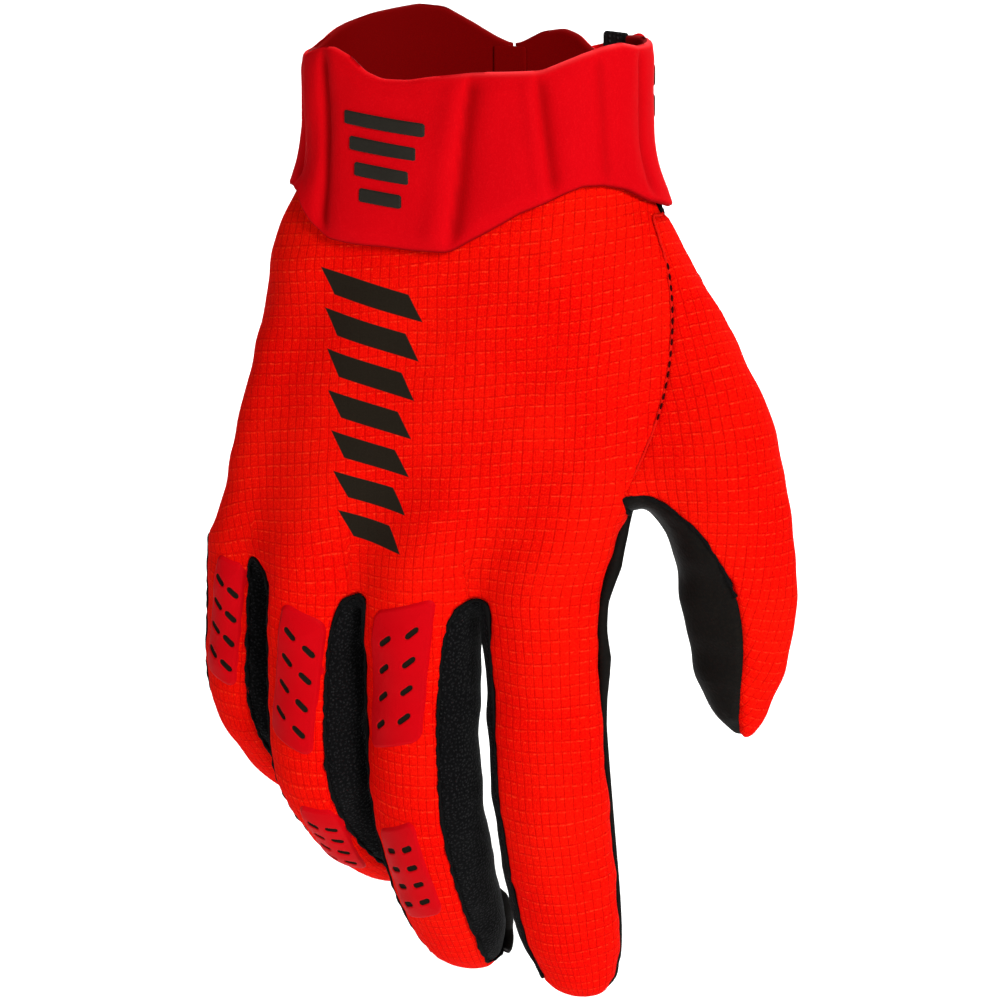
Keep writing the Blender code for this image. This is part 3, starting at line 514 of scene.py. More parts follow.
def readPanel(name):
    # One panel's points, normals, faces and flat pattern. The pattern is in millimetres: it is turned
    # so that its second axis climbs as the glove does, and scaled to the panel's own area
    chosen = surfacePanels == panelNames.index(name)
    faces, corners = surfaceFaces[chosen], surfaceUv[chosen]
    used, local = np.unique(faces, return_inverse=True)
    local = local.reshape(faces.shape)
    flat = np.zeros((len(used), 2))
    flat[local.ravel()] = corners.reshape(-1, 2)
    points = surfacePoints[used]
    flat -= flat.mean(axis=0)
    slope = np.linalg.lstsq(np.column_stack([flat, np.ones(len(flat))]), points[:, 2], rcond=None)[0][:2]
    up = unit(slope)
    flat = flat @ np.array([[up[1], up[0]], [-up[0], up[1]]])
    sides = np.concatenate([flat, np.zeros((len(flat), 1))], -1)
    ratio = faceAreas(points, local).sum() / faceAreas(sides, local).sum()
    return points, surfaceNormals[used], local, flat * np.sqrt(ratio) / mm


def borderEdges(faces):
    # Edges that only one face has, in that face's order
    starts, ends = faces.ravel(), np.roll(faces, -1, axis=1).ravel()
    count = faces.max() + 1
    lower, upper = np.minimum(starts, ends), np.maximum(starts, ends)
    _, place, uses = np.unique(lower * count + upper, return_inverse=True, return_counts=True)
    open_ = uses[place] == 1
    return np.stack([starts[open_], ends[open_]], -1)


def distanceTo(points, targets):
    # Distance from every point to the nearest target, in blocks
    result = np.empty(len(points))
    for start in range(0, len(points), form["blockSize"]):
        part = slice(start, start + form["blockSize"])
        lengths = (points[part]**2).sum(-1)[:, None] + (targets**2).sum(-1)[None]
        square = lengths - 2 * points[part] @ targets.T
        result[part] = np.sqrt(np.maximum(square.min(axis=1), 0))
    return result


def mathNode(tree, operation, first, second=0.0, third=0.0):
    return addNode(tree, "ShaderNodeMath", {0: first, 1: second, 2: third}, operation=operation).outputs[0]


def timesNode(tree, *factors):
    result = factors[0]
    for factor in factors[1:]:
        result = mathNode(tree, "MULTIPLY", result, factor)
    return result


def scaledNode(tree, value, factor, added):
    # value times factor, plus added
    return mathNode(tree, "MULTIPLY_ADD", value, factor, added)


def rangeNode(tree, value, fromLow, fromHigh, toLow=0.0, toHigh=1.0, kind="SMOOTHSTEP"):
    return addNode(tree, "ShaderNodeMapRange", {"Value": value, "From Min": fromLow, "From Max": fromHigh,
                                                "To Min": toLow, "To Max": toHigh},
                   interpolation_type=kind).outputs["Result"]


def noiseNode(tree, place, scale, detail=3.0, roughness=0.55):
    return addNode(tree, "ShaderNodeTexNoise", {"Vector": place, "Scale": scale, "Detail": detail,
                                                "Roughness": roughness}).outputs["Fac"]


def patchNode(tree, place, noise, limits):
    # Noise of a scale, detail and roughness, turned into patches with soft edges
    return rangeNode(tree, noiseNode(tree, place, *noise), *limits)


def lineNode(tree, value, pitch, low, high):
    # Lines a pitch apart: 1 nearer to them than low, and falling to 0 at high
    return rangeNode(tree, mathNode(tree, "PINGPONG", value, pitch / 2), low, high, 1.0, 0.0)


def cellNode(tree, place, scale, randomness, **settings):
    return addNode(tree, "ShaderNodeTexVoronoi", {"Vector": place, "Scale": scale, "Randomness": randomness},
                   **settings).outputs["Distance"]


def objectPlace(tree):
    return addNode(tree, "ShaderNodeTexCoord").outputs["Object"]


def clothPlace(tree):
    # The piece's own pattern, in millimetres, as separate axes
    uv = addNode(tree, "ShaderNodeUVMap", uv_map="cloth")
    parts = addNode(tree, "ShaderNodeSeparateXYZ", {0: uv.outputs[0]})
    return uv.outputs[0], parts.outputs[0], parts.outputs[1]


def maskNode(tree, name):
    return addNode(tree, "ShaderNodeAttribute", attribute_name=name).outputs["Fac"]


# Pitches in millimetres. Patches are noise (scale, detail, roughness) and the range that it turns into
ripstop = {"lineAcross": 2.25, "lineDown": 2.62, "lineWidth": 0.19, "wale": 0.62, "course": 0.50,
           "red": (0.75, 0.0008, 0.0006), "lightRed": (0.98, 0.0120, 0.0022),
           "lineRed": (0.42, 0.0003, 0.0005), "thread": (0.98, 0.045, 0.012), "threadShift": 0.42,
           "printBlack": (0.010, 0.008, 0.005), "printGrey": (0.020, 0.016, 0.011),
           "sway": ((0.05, 1.2, 1.6), (0.8, 0.20, 0.28)),  # scale, then reach across and down
           "breaks": (0.9, 3.0, 0.7), "speckle": (2.2, 4.0, 0.75),
           "patchesAcross": ((0.09, 3.0, 0.55), (0.32, 0.66, 0.65, 1.0)),
           "patchesDown": ((0.15, 3.0, 0.7), (0.35, 0.65, 0.50, 0.95)),
           "threadPatches": ((1.1, 3.0, 0.7), (0.44, 0.64, 0.0, 0.7)),
           "lightPatches": ((0.035, 2.0, 0.55), (0.3, 0.7, 0.0, 0.25)), "bump": (0.45, 0.00022)}

# Plain slanted bars printed down the back of the hand, in millimetres: the first bar's middle, the
# pitch, half height, half length, and how the middle and the half length change with each bar
printedBars = {"count": 7, "firstX": -17.4, "firstZ": -49.5, "pitch": 9.1, "halfHigh": 2.7, "halfLong": 10.6,
               "shiftX": -0.45, "taper": 0.75, "slant": -0.22, "skew": 0.55, "edge": 0.10, "backLimit": 5.0}


def printNode(tree):
    # In the plane of the bars, the row number is the rounded distance down in pitches; a point is
    # printed when it is within half a height of its row's middle and half a length of its centre
    parts = addNode(tree, "ShaderNodeSeparateXYZ", {0: objectPlace(tree)})
    x, y, z = [timesNode(tree, part, 1 / mm) for part in parts.outputs]
    across = mathNode(tree, "SUBTRACT", x, printedBars["firstX"])
    down = mathNode(tree, "SUBTRACT", printedBars["firstZ"], z)
    down = scaledNode(tree, across, printedBars["slant"], down)
    row = mathNode(tree, "ROUND", mathNode(tree, "DIVIDE", down, printedBars["pitch"]))
    row = mathNode(tree, "MINIMUM", mathNode(tree, "MAXIMUM", row, 0.0), printedBars["count"] - 1.0)
    away = mathNode(tree, "SUBTRACT", down, timesNode(tree, row, printedBars["pitch"]))
    along = scaledNode(tree, row, -printedBars["shiftX"], across)
    along = mathNode(tree, "ABSOLUTE", scaledNode(tree, away, -printedBars["skew"], along))
    reach = scaledNode(tree, row, -printedBars["taper"], printedBars["halfLong"])
    edge = printedBars["edge"]
    inRow = rangeNode(tree, mathNode(tree, "ABSOLUTE", away), printedBars["halfHigh"] - edge,
                      printedBars["halfHigh"] + edge, 1.0, 0.0)
    inLength = rangeNode(tree, mathNode(tree, "SUBTRACT", along, reach), -edge, edge, 1.0, 0.0)
    onBack = mathNode(tree, "LESS_THAN", y, printedBars["backLimit"])
    return timesNode(tree, inRow, inLength, onBack)


def ripstopMaterial(name, printed):
    # Knit cells of two crossed sines under lines both ways, which sway and fade in patches
    material, tree = startMaterial(name, 0.9, Sheen_Weight=0.03, Sheen_Roughness=0.5,
                                   Sheen_Tint=(1.0, 0.02, 0.01, 1.0), Specular_IOR_Level=0.01)
    cloth, across, up = clothPlace(tree)
    u, v = across, up
    for scale, swayU, swayV in ripstop["sway"]:
        noise = addNode(tree, "ShaderNodeTexNoise", {"Vector": cloth, "Scale": scale, "Detail": 1.0})
        sway = addNode(tree, "ShaderNodeSeparateXYZ", {0: noise.outputs["Color"]})
        u = scaledNode(tree, sway.outputs[0], swayU, u)
        v = scaledNode(tree, sway.outputs[1], swayV, v)
    width = ripstop["lineWidth"]
    lineU = lineNode(tree, u, ripstop["lineAcross"], width * 0.1, width * 1.7)
    lineV = lineNode(tree, v, ripstop["lineDown"], width * 0.1, width * 1.5)
    breaks = noiseNode(tree, cloth, *ripstop["breaks"])
    linesU = timesNode(tree, lineU, patchNode(tree, cloth, *ripstop["patchesAcross"]),
                       rangeNode(tree, breaks, 0.36, 0.55, 0.65, 1.0))
    linesV = timesNode(tree, lineV, patchNode(tree, cloth, *ripstop["patchesDown"]),
                       rangeNode(tree, breaks, 0.40, 0.60, 0.50, 1.0))
    # A lighter thread runs beside every line across, and fine ribs between the lines down
    beside = mathNode(tree, "ADD", v, ripstop["threadShift"])
    threads = timesNode(tree, lineNode(tree, beside, ripstop["lineDown"], 0.05, 0.24),
                        patchNode(tree, cloth, *ripstop["threadPatches"]))
    ribs = timesNode(tree, lineNode(tree, u, ripstop["lineAcross"] / 4, 0.02, 0.16),
                     rangeNode(tree, breaks, 0.40, 0.62, 0.0, 0.32))
    cells = [mathNode(tree, "SINE", timesNode(tree, value, 2 * np.pi / ripstop[size]))
             for value, size in ((across, "wale"), (up, "course"))]
    knit = scaledNode(tree, timesNode(tree, *cells), 0.5, 0.5)
    speckle = noiseNode(tree, cloth, *ripstop["speckle"])
    light = timesNode(tree, rangeNode(tree, speckle, 0.44, 0.66), scaledNode(tree, knit, 0.6, 0.4))
    light = mathNode(tree, "ADD", light, patchNode(tree, cloth, *ripstop["lightPatches"]))
    colour = mixNode(tree, light, ripstop["red"], ripstop["lightRed"])
    colour = mixNode(tree, threads, colour, ripstop["thread"])
    colour = mixNode(tree, ribs, colour, ripstop["lineRed"])
    lines = timesNode(tree, mathNode(tree, "MAXIMUM", linesU, linesV), 0.58)
    colour = mixNode(tree, lines, colour, ripstop["lineRed"])
    ridge = scaledNode(tree, mathNode(tree, "MAXIMUM", lineU, lineV), -0.6,
                       scaledNode(tree, knit, 0.35, timesNode(tree, speckle, 0.6)))
    roughness = None
    if printed:
        ink = printNode(tree)
        inkColour = mixNode(tree, speckle, ripstop["printBlack"], ripstop["printGrey"])
        colour = mixNode(tree, ink, colour, inkColour)
        roughness = rangeNode(tree, ink, 0, 1, 0.85, 0.6, "LINEAR")
        ridge = timesNode(tree, ridge, rangeNode(tree, ink, 0, 1, 1.0, 0.35, "LINEAR"))
    return finishMaterial(material, colour, (ridge, *ripstop["bump"]), roughness)


meshCloth = {"pitch": 0.85, "black": (0.0022, 0.0022, 0.0025), "dot": (0.018, 0.018, 0.019),
             "speckle": (2.2, 3.0, 0.7), "bump": (0.8, 0.0003)}


def blackMeshMaterial():
    # The dots of a spacer mesh are the cells of a flat pattern, lit in speckles
    material, tree = startMaterial("blackSpacerMesh", 0.9, Sheen_Weight=0.02, Sheen_Roughness=0.5,
                                   Specular_IOR_Level=0.05)
    cloth, _, _ = clothPlace(tree)
    dots = cellNode(tree, cloth, 1 / meshCloth["pitch"], 0.8, voronoi_dimensions="2D")
    dots = rangeNode(tree, dots, 0.12, 0.42, 1.0, 0.0)
    speckle = noiseNode(tree, cloth, *meshCloth["speckle"])
    lit = timesNode(tree, dots, rangeNode(tree, speckle, 0.40, 0.66))
    return finishMaterial(material, mixNode(tree, lit, meshCloth["black"], meshCloth["dot"]),
                          (scaledNode(tree, speckle, 0.5, dots), *meshCloth["bump"]))


leather = {"dark": (0.0040, 0.0030, 0.0025), "light": (0.011, 0.0090, 0.0070),
           "crease": (0.004, 0.004, 0.004), "grain": 1500.0, "patches": (60.0, 4.0), "bump": (0.5, 0.00018)}


def leatherMaterial():
    # Round grain over broad patches, which also change the roughness
    material, tree = startMaterial("blackPalmLeather", 0.72, Specular_IOR_Level=0.04)
    place = objectPlace(tree)
    grain = cellNode(tree, place, leather["grain"], 1.0, feature="SMOOTH_F1")
    broad = noiseNode(tree, place, *leather["patches"])
    colour = mixNode(tree, broad, leather["dark"], leather["light"])
    colour = mixNode(tree, rangeNode(tree, grain, 0.1, 0.6, 0.0, 0.5), colour, leather["crease"])
    return finishMaterial(material, colour, (scaledNode(tree, broad, 1.4, grain), *leather["bump"]),
                          rangeNode(tree, broad, 0.3, 0.7, 0.56, 0.74))


neopreneLook = {"dark": (0.54, 0.0004, 0.0030), "light": (0.64, 0.0006, 0.0042),
                "fleck": (0.76, 0.006, 0.010), "flecks": (2600.0, 2.0, 0.6), "patches": (45.0, 3.0),
                "bump": (0.35, 0.0001),
                # mask, its strength and its colour, laid one over the other
                # painted highlight on the top rim, then painted shade inside, in the grooves and at the lower
                # edge
                "masks": (("paintedRimHighlight", 1.0, (0.85, 0.030, 0.035)),
                          ("insideShade", 1.0, (0.17, 0.0004, 0.0006)),
                          ("grooveShade", 0.42, (0.22, 0.0002, 0.0010)),
                          ("edgeShade", 1.0, (0.12, 0.0006, 0.0012)))}


def neopreneMaterial():
    # Fine flecks over broad patches, then the masks of the moulded pieces, which paint light and shade into
    # the colour: a painted highlight along the cuff's top rim, and painted shade inside the cuff, in the
    # grooves and along the lower edge
    material, tree = startMaterial("crimsonCuffNeoprene", 0.75, Sheen_Weight=0.05, Sheen_Roughness=0.4,
                                   Sheen_Tint=(1.0, 0.01, 0.03, 1.0), Specular_IOR_Level=0.02)
    place = objectPlace(tree)
    fine = noiseNode(tree, place, *neopreneLook["flecks"])
    broad = noiseNode(tree, place, *neopreneLook["patches"])
    colour = mixNode(tree, broad, neopreneLook["dark"], neopreneLook["light"])
    colour = mixNode(tree, rangeNode(tree, fine, 0.45, 0.8, 0.0, 0.35), colour, neopreneLook["fleck"])
    for name, strength, shade in neopreneLook["masks"]:
        colour = mixNode(tree, timesNode(tree, maskNode(tree, name), strength), colour, shade)
    return finishMaterial(material, colour, (scaledNode(tree, broad, 0.5, fine), *neopreneLook["bump"]))


padLook = {"dark": (0.50, 0.0004, 0.0034), "light": (0.58, 0.0006, 0.0044), "slot": (0.012, 0.009, 0.006),
           "patches": (70.0, 2.0), "grain": (1800.0, 2.0), "bump": (0.25, 0.00008)}


def padMaterial():
    # Smooth film, black and rougher in the slots
    material, tree = startMaterial("crimsonPadFilm", 0.6, Specular_IOR_Level=0.02)
    place = objectPlace(tree)
    slot = rangeNode(tree, maskNode(tree, "slot"), 0.42, 0.58)
    colour = mixNode(tree, noiseNode(tree, place, *padLook["patches"]), padLook["dark"], padLook["light"])
    return finishMaterial(material, mixNode(tree, slot, colour, padLook["slot"]),
                          (noiseNode(tree, place, *padLook["grain"]), *padLook["bump"]),
                          rangeNode(tree, slot, 0, 1, 0.55, 0.85, "LINEAR"))


rubberLook = {"dark": (0.014, 0.012, 0.009), "light": (0.024, 0.021, 0.016), "patches": (120.0, 2.0),
              "grain": (1500.0, 3.0), "bump": (0.3, 0.0001)}


def rubberMaterial():
    material, tree = startMaterial("blackBarRubber", 0.66, Specular_IOR_Level=0.08)
    broad, grain = [noiseNode(tree, objectPlace(tree), *rubberLook[noise]) for noise in ("patches", "grain")]
    colour = mixNode(tree, broad, rubberLook["dark"], rubberLook["light"])
    return finishMaterial(material, colour, (grain, *rubberLook["bump"]))


hookLook = {"dark": (0.004, 0.004, 0.004), "light": (0.03, 0.03, 0.03), "hooks": 900.0,
            "bump": (1.0, 0.0006)}


def hookMaterial():
    # Each hook is the middle of a cell
    material, tree = startMaterial("blackHookTape", 0.9, Specular_IOR_Level=0.2)
    tips = cellNode(tree, objectPlace(tree), hookLook["hooks"], 0.3)
    tips = rangeNode(tree, tips, 0.1, 0.5, 1.0, 0.0)
    return finishMaterial(material, mixNode(tree, tips, hookLook["dark"], hookLook["light"]),
                          (tips, *hookLook["bump"]))


threadLook = {"twist": (2400.0, 2.0), "bump": (0.6, 0.00012),
              # dark and light colour of each thread
              "blackSeamThread": ((0.0025, 0.0025, 0.0025), (0.008, 0.008, 0.008)),
              "redSeamThread": ((0.45, 0.0025, 0.0015), (0.85, 0.010, 0.004)),
              "darkRedThread": ((0.012, 0.001, 0.001), (0.06, 0.002, 0.002))}


def threadMaterial(name):
    material, tree = startMaterial(name, 0.85, Specular_IOR_Level=0.03)
    twist = noiseNode(tree, objectPlace(tree), *threadLook["twist"])
    return finishMaterial(material, mixNode(tree, twist, *threadLook[name]), (twist, *threadLook["bump"]))


ripstopCloth = ripstopMaterial("redRipstopKnit", False)
printedCloth = ripstopMaterial("redRipstopPrinted", True)
blackMesh = blackMeshMaterial()
palmLeather = leatherMaterial()
neoprene = neopreneMaterial()
padFilm = padMaterial()
rubber = rubberMaterial()
hookTape = hookMaterial()
blackThread = threadMaterial("blackSeamThread")
redThread = threadMaterial("redSeamThread")
darkThread = threadMaterial("darkRedThread")
print("materials made")


panelFinish = {"wall": 1.15 * mm, "rollDepth": 0.45 * mm, "rollReach": 0.75 * mm,
               "puckerDepth": 0.16 * mm, "puckerLength": 4.2 * mm, "puckerReach": 3.0 * mm,
               "waveDepth": 0.22 * mm, "waveLength": 17 * mm, "palmWaves": 1.6, "bulge": 1.5 * mm,
               "bulgeHeight": -45 * mm, "bulgeHigh": 7 * mm, "bulgeAcross": -37 * mm, "bulgeWide": 9 * mm,
               # each panel's material and its slot
               "cloth": {"back_panel": (printedCloth, "knit"), "palm_panel": (palmLeather, "leather"),
                         **{gusset: (blackMesh, "mesh") for gusset in panelNames[2:5]},
                         "thumb_back": (ripstopCloth, "knit"), "thumb_inner": (palmLeather, "leather")}}

# Soft valleys (negative depth) and swells of the knit: from x, z to x, z, width and depth, in millimetres
folds = ((6.0, -86.0, 17.0, -69.0, 5.0, -0.75), (14.0, -100.0, 27.0, -82.0, 5.5, 0.65),
         (-8.0, -84.0, 2.0, -62.0, 6.0, 0.40), (2.0, -112.0, 9.0, -128.0, 4.0, -0.35),
         (26.0, -40.0, 34.0, -62.0, 6.0, 0.45), (-30.0, -52.0, -44.0, -92.0, 7.0, -0.35),
         (36.0, -92.0, 50.0, -84.0, 3.5, 0.40), (-36.0, -104.0, -24.0, -112.0, 4.5, -0.30))


def foldLift(points):
    # Each fold is bell-shaped across its line and fades past its two ends
    x, y, z = points.T / mm
    lift = np.zeros(len(points))
    for startX, startZ, endX, endZ, width, depth in folds:
        run = np.array([endX - startX, endZ - startZ])
        length = np.linalg.norm(run)
        way = run / length
        along = (x - startX) * way[0] + (z - startZ) * way[1]
        beside = (x - startX) * way[1] - (z - startZ) * way[0]
        past = np.maximum(np.abs(along - length / 2) - length / 2, 0)
        lift += depth * np.exp(-(beside / width)**2 - (past / (1.4 * width))**2)
    return lift * mm * smoothStep((4 - y) / 8)


def bendIn(points, name):
    # Broad soft waves of worn cloth, and a knit bulge just under the cuff on the little finger's side
    lift = panelFinish["waveDepth"] * ripple(points * [1, 1, 1.6], panelFinish["waveLength"], 7)
    if name in ("palm_panel", "thumb_inner"):
        lift *= panelFinish["palmWaves"]
    edge = np.exp(-((points[:, 2] - panelFinish["bulgeHeight"]) / panelFinish["bulgeHigh"])**2)
    side = np.exp(-((points[:, 0] - panelFinish["bulgeAcross"]) / panelFinish["bulgeWide"])**2)
    return lift + panelFinish["bulge"] * edge * side + foldLift(points)


# In millimetres; the walk is the least and greatest share of a finger's length, and the number of steps
fingerWeave = {"start": -101.0, "reach": 24.0, "lean": -0.21, "walk": (-0.12, 1.1, 123), "jointDown": 8,
               "jointAcross": 10}


def weaveDown(points, flat):
    # The knit of the back: on the hand the flat pattern with its rows leaned, and on each finger the
    # distance down its middle line and the length of arc round it, joined where the fingers start
    weave = np.stack([flat[:, 0], flat[:, 1] + fingerWeave["lean"] * flat[:, 0]], -1)
    walks = []
    for name in fingerNames:
        steps = np.linspace(*fingerWeave["walk"]) * finger[name][5] * finger["length"]
        centre, outward, side = fingerLine(name, steps)
        span = np.linalg.norm(points[:, None] - centre[None], axis=-1)
        place = span.argmin(axis=1)
        away = points - centre[place]
        steps = steps[place] + np.einsum("ij,ij->i", away, unit(np.gradient(centre, axis=0))[place])
        angle = np.arctan2(away @ side, np.einsum("ij,ij->i", away, outward[place]))
        walks.append((span.min(axis=1), steps / mm, angle * finger["width"] / 2 / mm))
    owner = np.argmin([walk[0] for walk in walks], axis=0)
    share = smoothStep((fingerWeave["start"] - points[:, 2] / mm) / fingerWeave["reach"])
    for number, (_, steps, arc) in enumerate(walks):
        mine = owner == number
        joint = (mine & (np.abs(steps) < fingerWeave["jointDown"])
                 & (np.abs(arc) < fingerWeave["jointAcross"]))
        own = np.stack([arc, -steps], -1)
        own += np.mean(weave[joint] - own[joint], axis=0)
        weave[mine] += share[mine, None] * (own - weave)[mine]
    return weave


def makePanel(name):
    # The panel's outside with its edges turned down into the seams, and its inside one wall below
    points, normals, faces, flat = readPanel(name)
    if name == "back_panel":
        flat = weaveDown(points, flat)
    border = borderEdges(faces)
    distance = distanceTo(points, points[np.unique(border)])
    roll = panelFinish["rollDepth"] * np.exp(-(distance / panelFinish["rollReach"])**2)
    pucker = panelFinish["puckerDepth"] * np.exp(-distance / panelFinish["puckerReach"])
    lift = bendIn(points, name) + pucker * ripple(points, panelFinish["puckerLength"], 11) - roll
    outer = points + normals * lift[:, None]
    inner = points - normals * panelFinish["wall"]
    count = len(points)
    rim = np.stack([border[:, 1], border[:, 0], border[:, 0] + count, border[:, 1] + count], -1)
    allFaces = np.concatenate([faces, faces[:, ::-1] + count, rim])
    material, slot = panelFinish["cloth"][name]
    piece = makePiece(name + "_cloth", np.concatenate([outer, inner]), [allFaces], material,
                      np.concatenate([flat, flat]))
    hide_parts(name)
    print(name, len(faces), "faces outside, pattern", np.round(np.ptp(flat, axis=0), 1), "mm, area",
          round(float(faceAreas(points, faces).sum() * 1e4), 1), "cm2")


for panelName in panelNames:
    makePanel(panelName)


def seamPath(first, second):
    # Points and normals along the edges that two panels share, in order, longest run first
    count = len(surfacePoints)
    keys = []
    for name in (first, second):
        faces = surfaceFaces[surfacePanels == panelNames.index(name)]
        edge = borderEdges(faces)
        keys.append(np.minimum(*edge.T) * count + np.maximum(*edge.T))
    shared = np.intersect1d(*keys)
    ends = np.stack([shared // count, shared % count], -1)
    links = {}
    for start, end in ends.tolist():
        links.setdefault(start, []).append(end)
        links.setdefault(end, []).append(start)
    runs = []
    while links:
        tips = [point for point, others in links.items() if len(others) == 1]
        here = tips[0] if tips else next(iter(links))
        run = [here]
        while links.get(here):
            after = links[here].pop()
            links[after].remove(here)
            if not links[here]:
                del links[here]
            here = after
            run.append(here)
        links.pop(here, None)
        runs.append(run)
    return [(surfacePoints[run], surfaceNormals[run]) for run in sorted(runs, key=len, reverse=True)]


def evenPath(points, normals, step):
    # The same path with points every step, by its length
    lengths = np.concatenate([[0], np.cumsum(np.linalg.norm(np.diff(points, axis=0), axis=1))])
    count = max(4, int(round(lengths[-1] / step)) + 1)
    along = np.linspace(0, lengths[-1], count)
    points, normals = readAlong(along, lengths, points, normals)
    return points, unit(normals), along


def smoothPath(points, times):
    # Repeated averages of each point with its neighbours, the two ends held
    for _ in range(times):
        points = np.concatenate([points[:1], (points[:-2] + 2 * points[1:-1] + points[2:]) / 4, points[-1:]])
    return points


def tubeParts(points, normals, wide, high, sides=8):
    # A round profile carried along a path: wide across it and high above it, closed with a fan at
    # each end; returns points and faces in quads and triangles
    tangent = unit(np.gradient(points, axis=0))
    side = unit(np.cross(tangent, normals))
    up = np.cross(side, tangent)
    angle = np.arange(sides) / sides * 2 * np.pi
    wide = np.broadcast_to(wide, len(points))[:, None, None]
    high = np.broadcast_to(high, len(points))[:, None, None]
    ring = (points[:, None] + side[:, None] * wide * np.cos(angle)[None, :, None]
            + up[:, None] * high * np.sin(angle)[None, :, None])
    count = len(points)
    body = gridFaces(count, sides, closed=True)[:, ::-1]
    ends = np.stack([points[0], points[-1]])
    column = np.arange(sides)
    after = (column + 1) % sides
    first = np.stack([np.full(sides, count * sides), column, after], -1)[:, ::-1]
    last = np.stack([np.full(sides, count * sides + 1), after + (count - 1) * sides,
                     column + (count - 1) * sides], -1)[:, ::-1]
    return np.concatenate([ring.reshape(-1, 3), ends]), body, np.concatenate([first, last])


def joinParts(parts):
    # Several bodies as one set of points, quads and triangles
    points, quads, triangles, count = [], [], [], 0
    for body, four, three in parts:
        points.append(body)
        quads.append(four + count)
        triangles.append(three + count)
        count += len(body)
    return np.concatenate(points), [np.concatenate(quads), np.concatenate(triangles)]


stitchRing = {"places": (-1, -0.86, -0.5, 0, 0.5, 0.86, 1.0), "sides": 6, "shift": 0.06, "seat": 0.55,
              "tip": 0.03}


def stitchParts(points, normals, along, look):
    # Short thread capsules at even spacing: each one a tube of seven rings whose radius is
    # the root of 1 - t^2, arched so that its ends dip into the cloth
    rng = np.random.default_rng(look["seed"])
    spacing, radius, sides = look["spacing"], look["radius"], stitchRing["sides"]
    middles = np.arange(spacing / 2, along[-1] - spacing / 2, spacing)
    middles = middles + rng.uniform(-stitchRing["shift"], stitchRing["shift"], len(middles)) * spacing
    t = np.array(stitchRing["places"])
    centre, normal = readAlong(middles[:, None] + t * look["length"] / 2, along, points, normals)
    normal = unit(normal)
    tangent = unit(centre[:, -1] - centre[:, 0])[:, None]
    side = unit(np.cross(np.broadcast_to(tangent, normal.shape), normal))
    centre = centre + normal * (radius * stitchRing["seat"] - look["sink"] * t[:, None]**2)
    centre = centre + side * look["sideways"]
    angle = np.arange(sides) / sides * 2 * np.pi
    size = radius * np.sqrt(np.maximum(1 - t**2, stitchRing["tip"]))[None, :, None, None]
    rings = (centre[:, :, None] + side[:, :, None] * size * np.cos(angle)[None, None, :, None]
             + normal[:, :, None] * size * np.sin(angle)[None, None, :, None])
    body = gridFaces(len(t), sides, closed=True)[:, ::-1]
    count = len(t) * sides
    caps = np.stack([np.arange(sides), np.arange(count - sides, count)[::-1]])
    shift = (np.arange(len(middles)) * count)[:, None, None]
    return rings.reshape(-1, 3), [(body[None] + shift).reshape(-1, 4),
                                  (caps[None] + shift).reshape(-1, sides)]


seams = {"step": 0.8 * mm, "smoothing": 3, "fewest": 6, "roughLength": 2.6 * mm, "swayLength": 3.4 * mm,
         "sway": 0.30 * mm, "sink": 0.12 * mm,
         # panels, half width, half height, raggedness, material
         "piping": (*[("back_panel", gusset, 0.38, 0.36, 0.40, blackThread) for gusset in panelNames[2:5]],
                    *[("palm_panel", gusset, 0.38, 0.34, 0.20, blackThread) for gusset in panelNames[2:5]],
                    ("back_panel", "palm_panel", 0.50, 0.42, 0.30, blackThread),
                    ("thumb_back", "thumb_inner", 0.42, 0.36, 0.40, blackThread),
                    ("palm_panel", "thumb_inner", 0.38, 0.32, 0.15, blackThread),
                    ("back_panel", "thumb_inner", 0.40, 0.34, 0.30, blackThread),
                    ("palm_panel", "thumb_back", 0.40, 0.34, 0.30, blackThread),
                    ("back_panel", "thumb_back", 0.30, 0.20, 0.15, redThread))}


def makeSeams():
    # A tube in every seam, whose width and place wander along it
    for first, second, wide, high, ragged, material in seams["piping"]:
        parts = []
        for points, normals in seamPath(first, second):
            if len(points) < seams["fewest"]:
                continue
            points, normals, along = evenPath(smoothPath(points, seams["smoothing"]), normals, seams["step"])
            rough = 1 + ragged * ripple(points, seams["roughLength"], 3)
            side = unit(np.cross(np.gradient(points, axis=0), normals))
            sway = ragged * seams["sway"] * ripple(points, seams["swayLength"], 5)
            points = points + side * sway[:, None] - normals * seams["sink"]
            parts.append(tubeParts(points, normals, wide * mm * rough, high * mm * rough))
        if parts:
            points, faces = joinParts(parts)
            piece = makePiece(f"seam_{first}_{second}", points, faces, material)
            print(f"seam {first} to {second}:", len(parts), "runs")


makeSeams()

# The palm's leather rolled out beside a seam: the seam's two panels, the least and greatest x of the part
# that is used, the roll's distance from the seam, and heights and widths, all in millimetres
rolls = {"margin": 0.55 * mm, "out": (0.934, 0.358, 0.0), "step": 0.7 * mm, "smoothing": 3, "sides": 12,
         "rows": {"index_palm_roll": ("back_panel", "palm_panel", 15.0, 99.0, 0.25,
                                      (-214, -206, -147, -140.5, -135, -131, -125, -118, -110, -103, -97),
                                      (-0.6, 0.3, 0.5, 1.0, 1.8, 2.2, 1.5, 1.3, 2.4, 1.7, 0.6)),
                  "middle_tip_roll": ("palm_panel", "gusset_index_middle", -12.0, -1.5, 0.3,
                                      (-215, -212, -206, -201, -198, -195),
                                      (-0.6, 1.2, 1.9, 1.9, 1.2, -0.6))}}


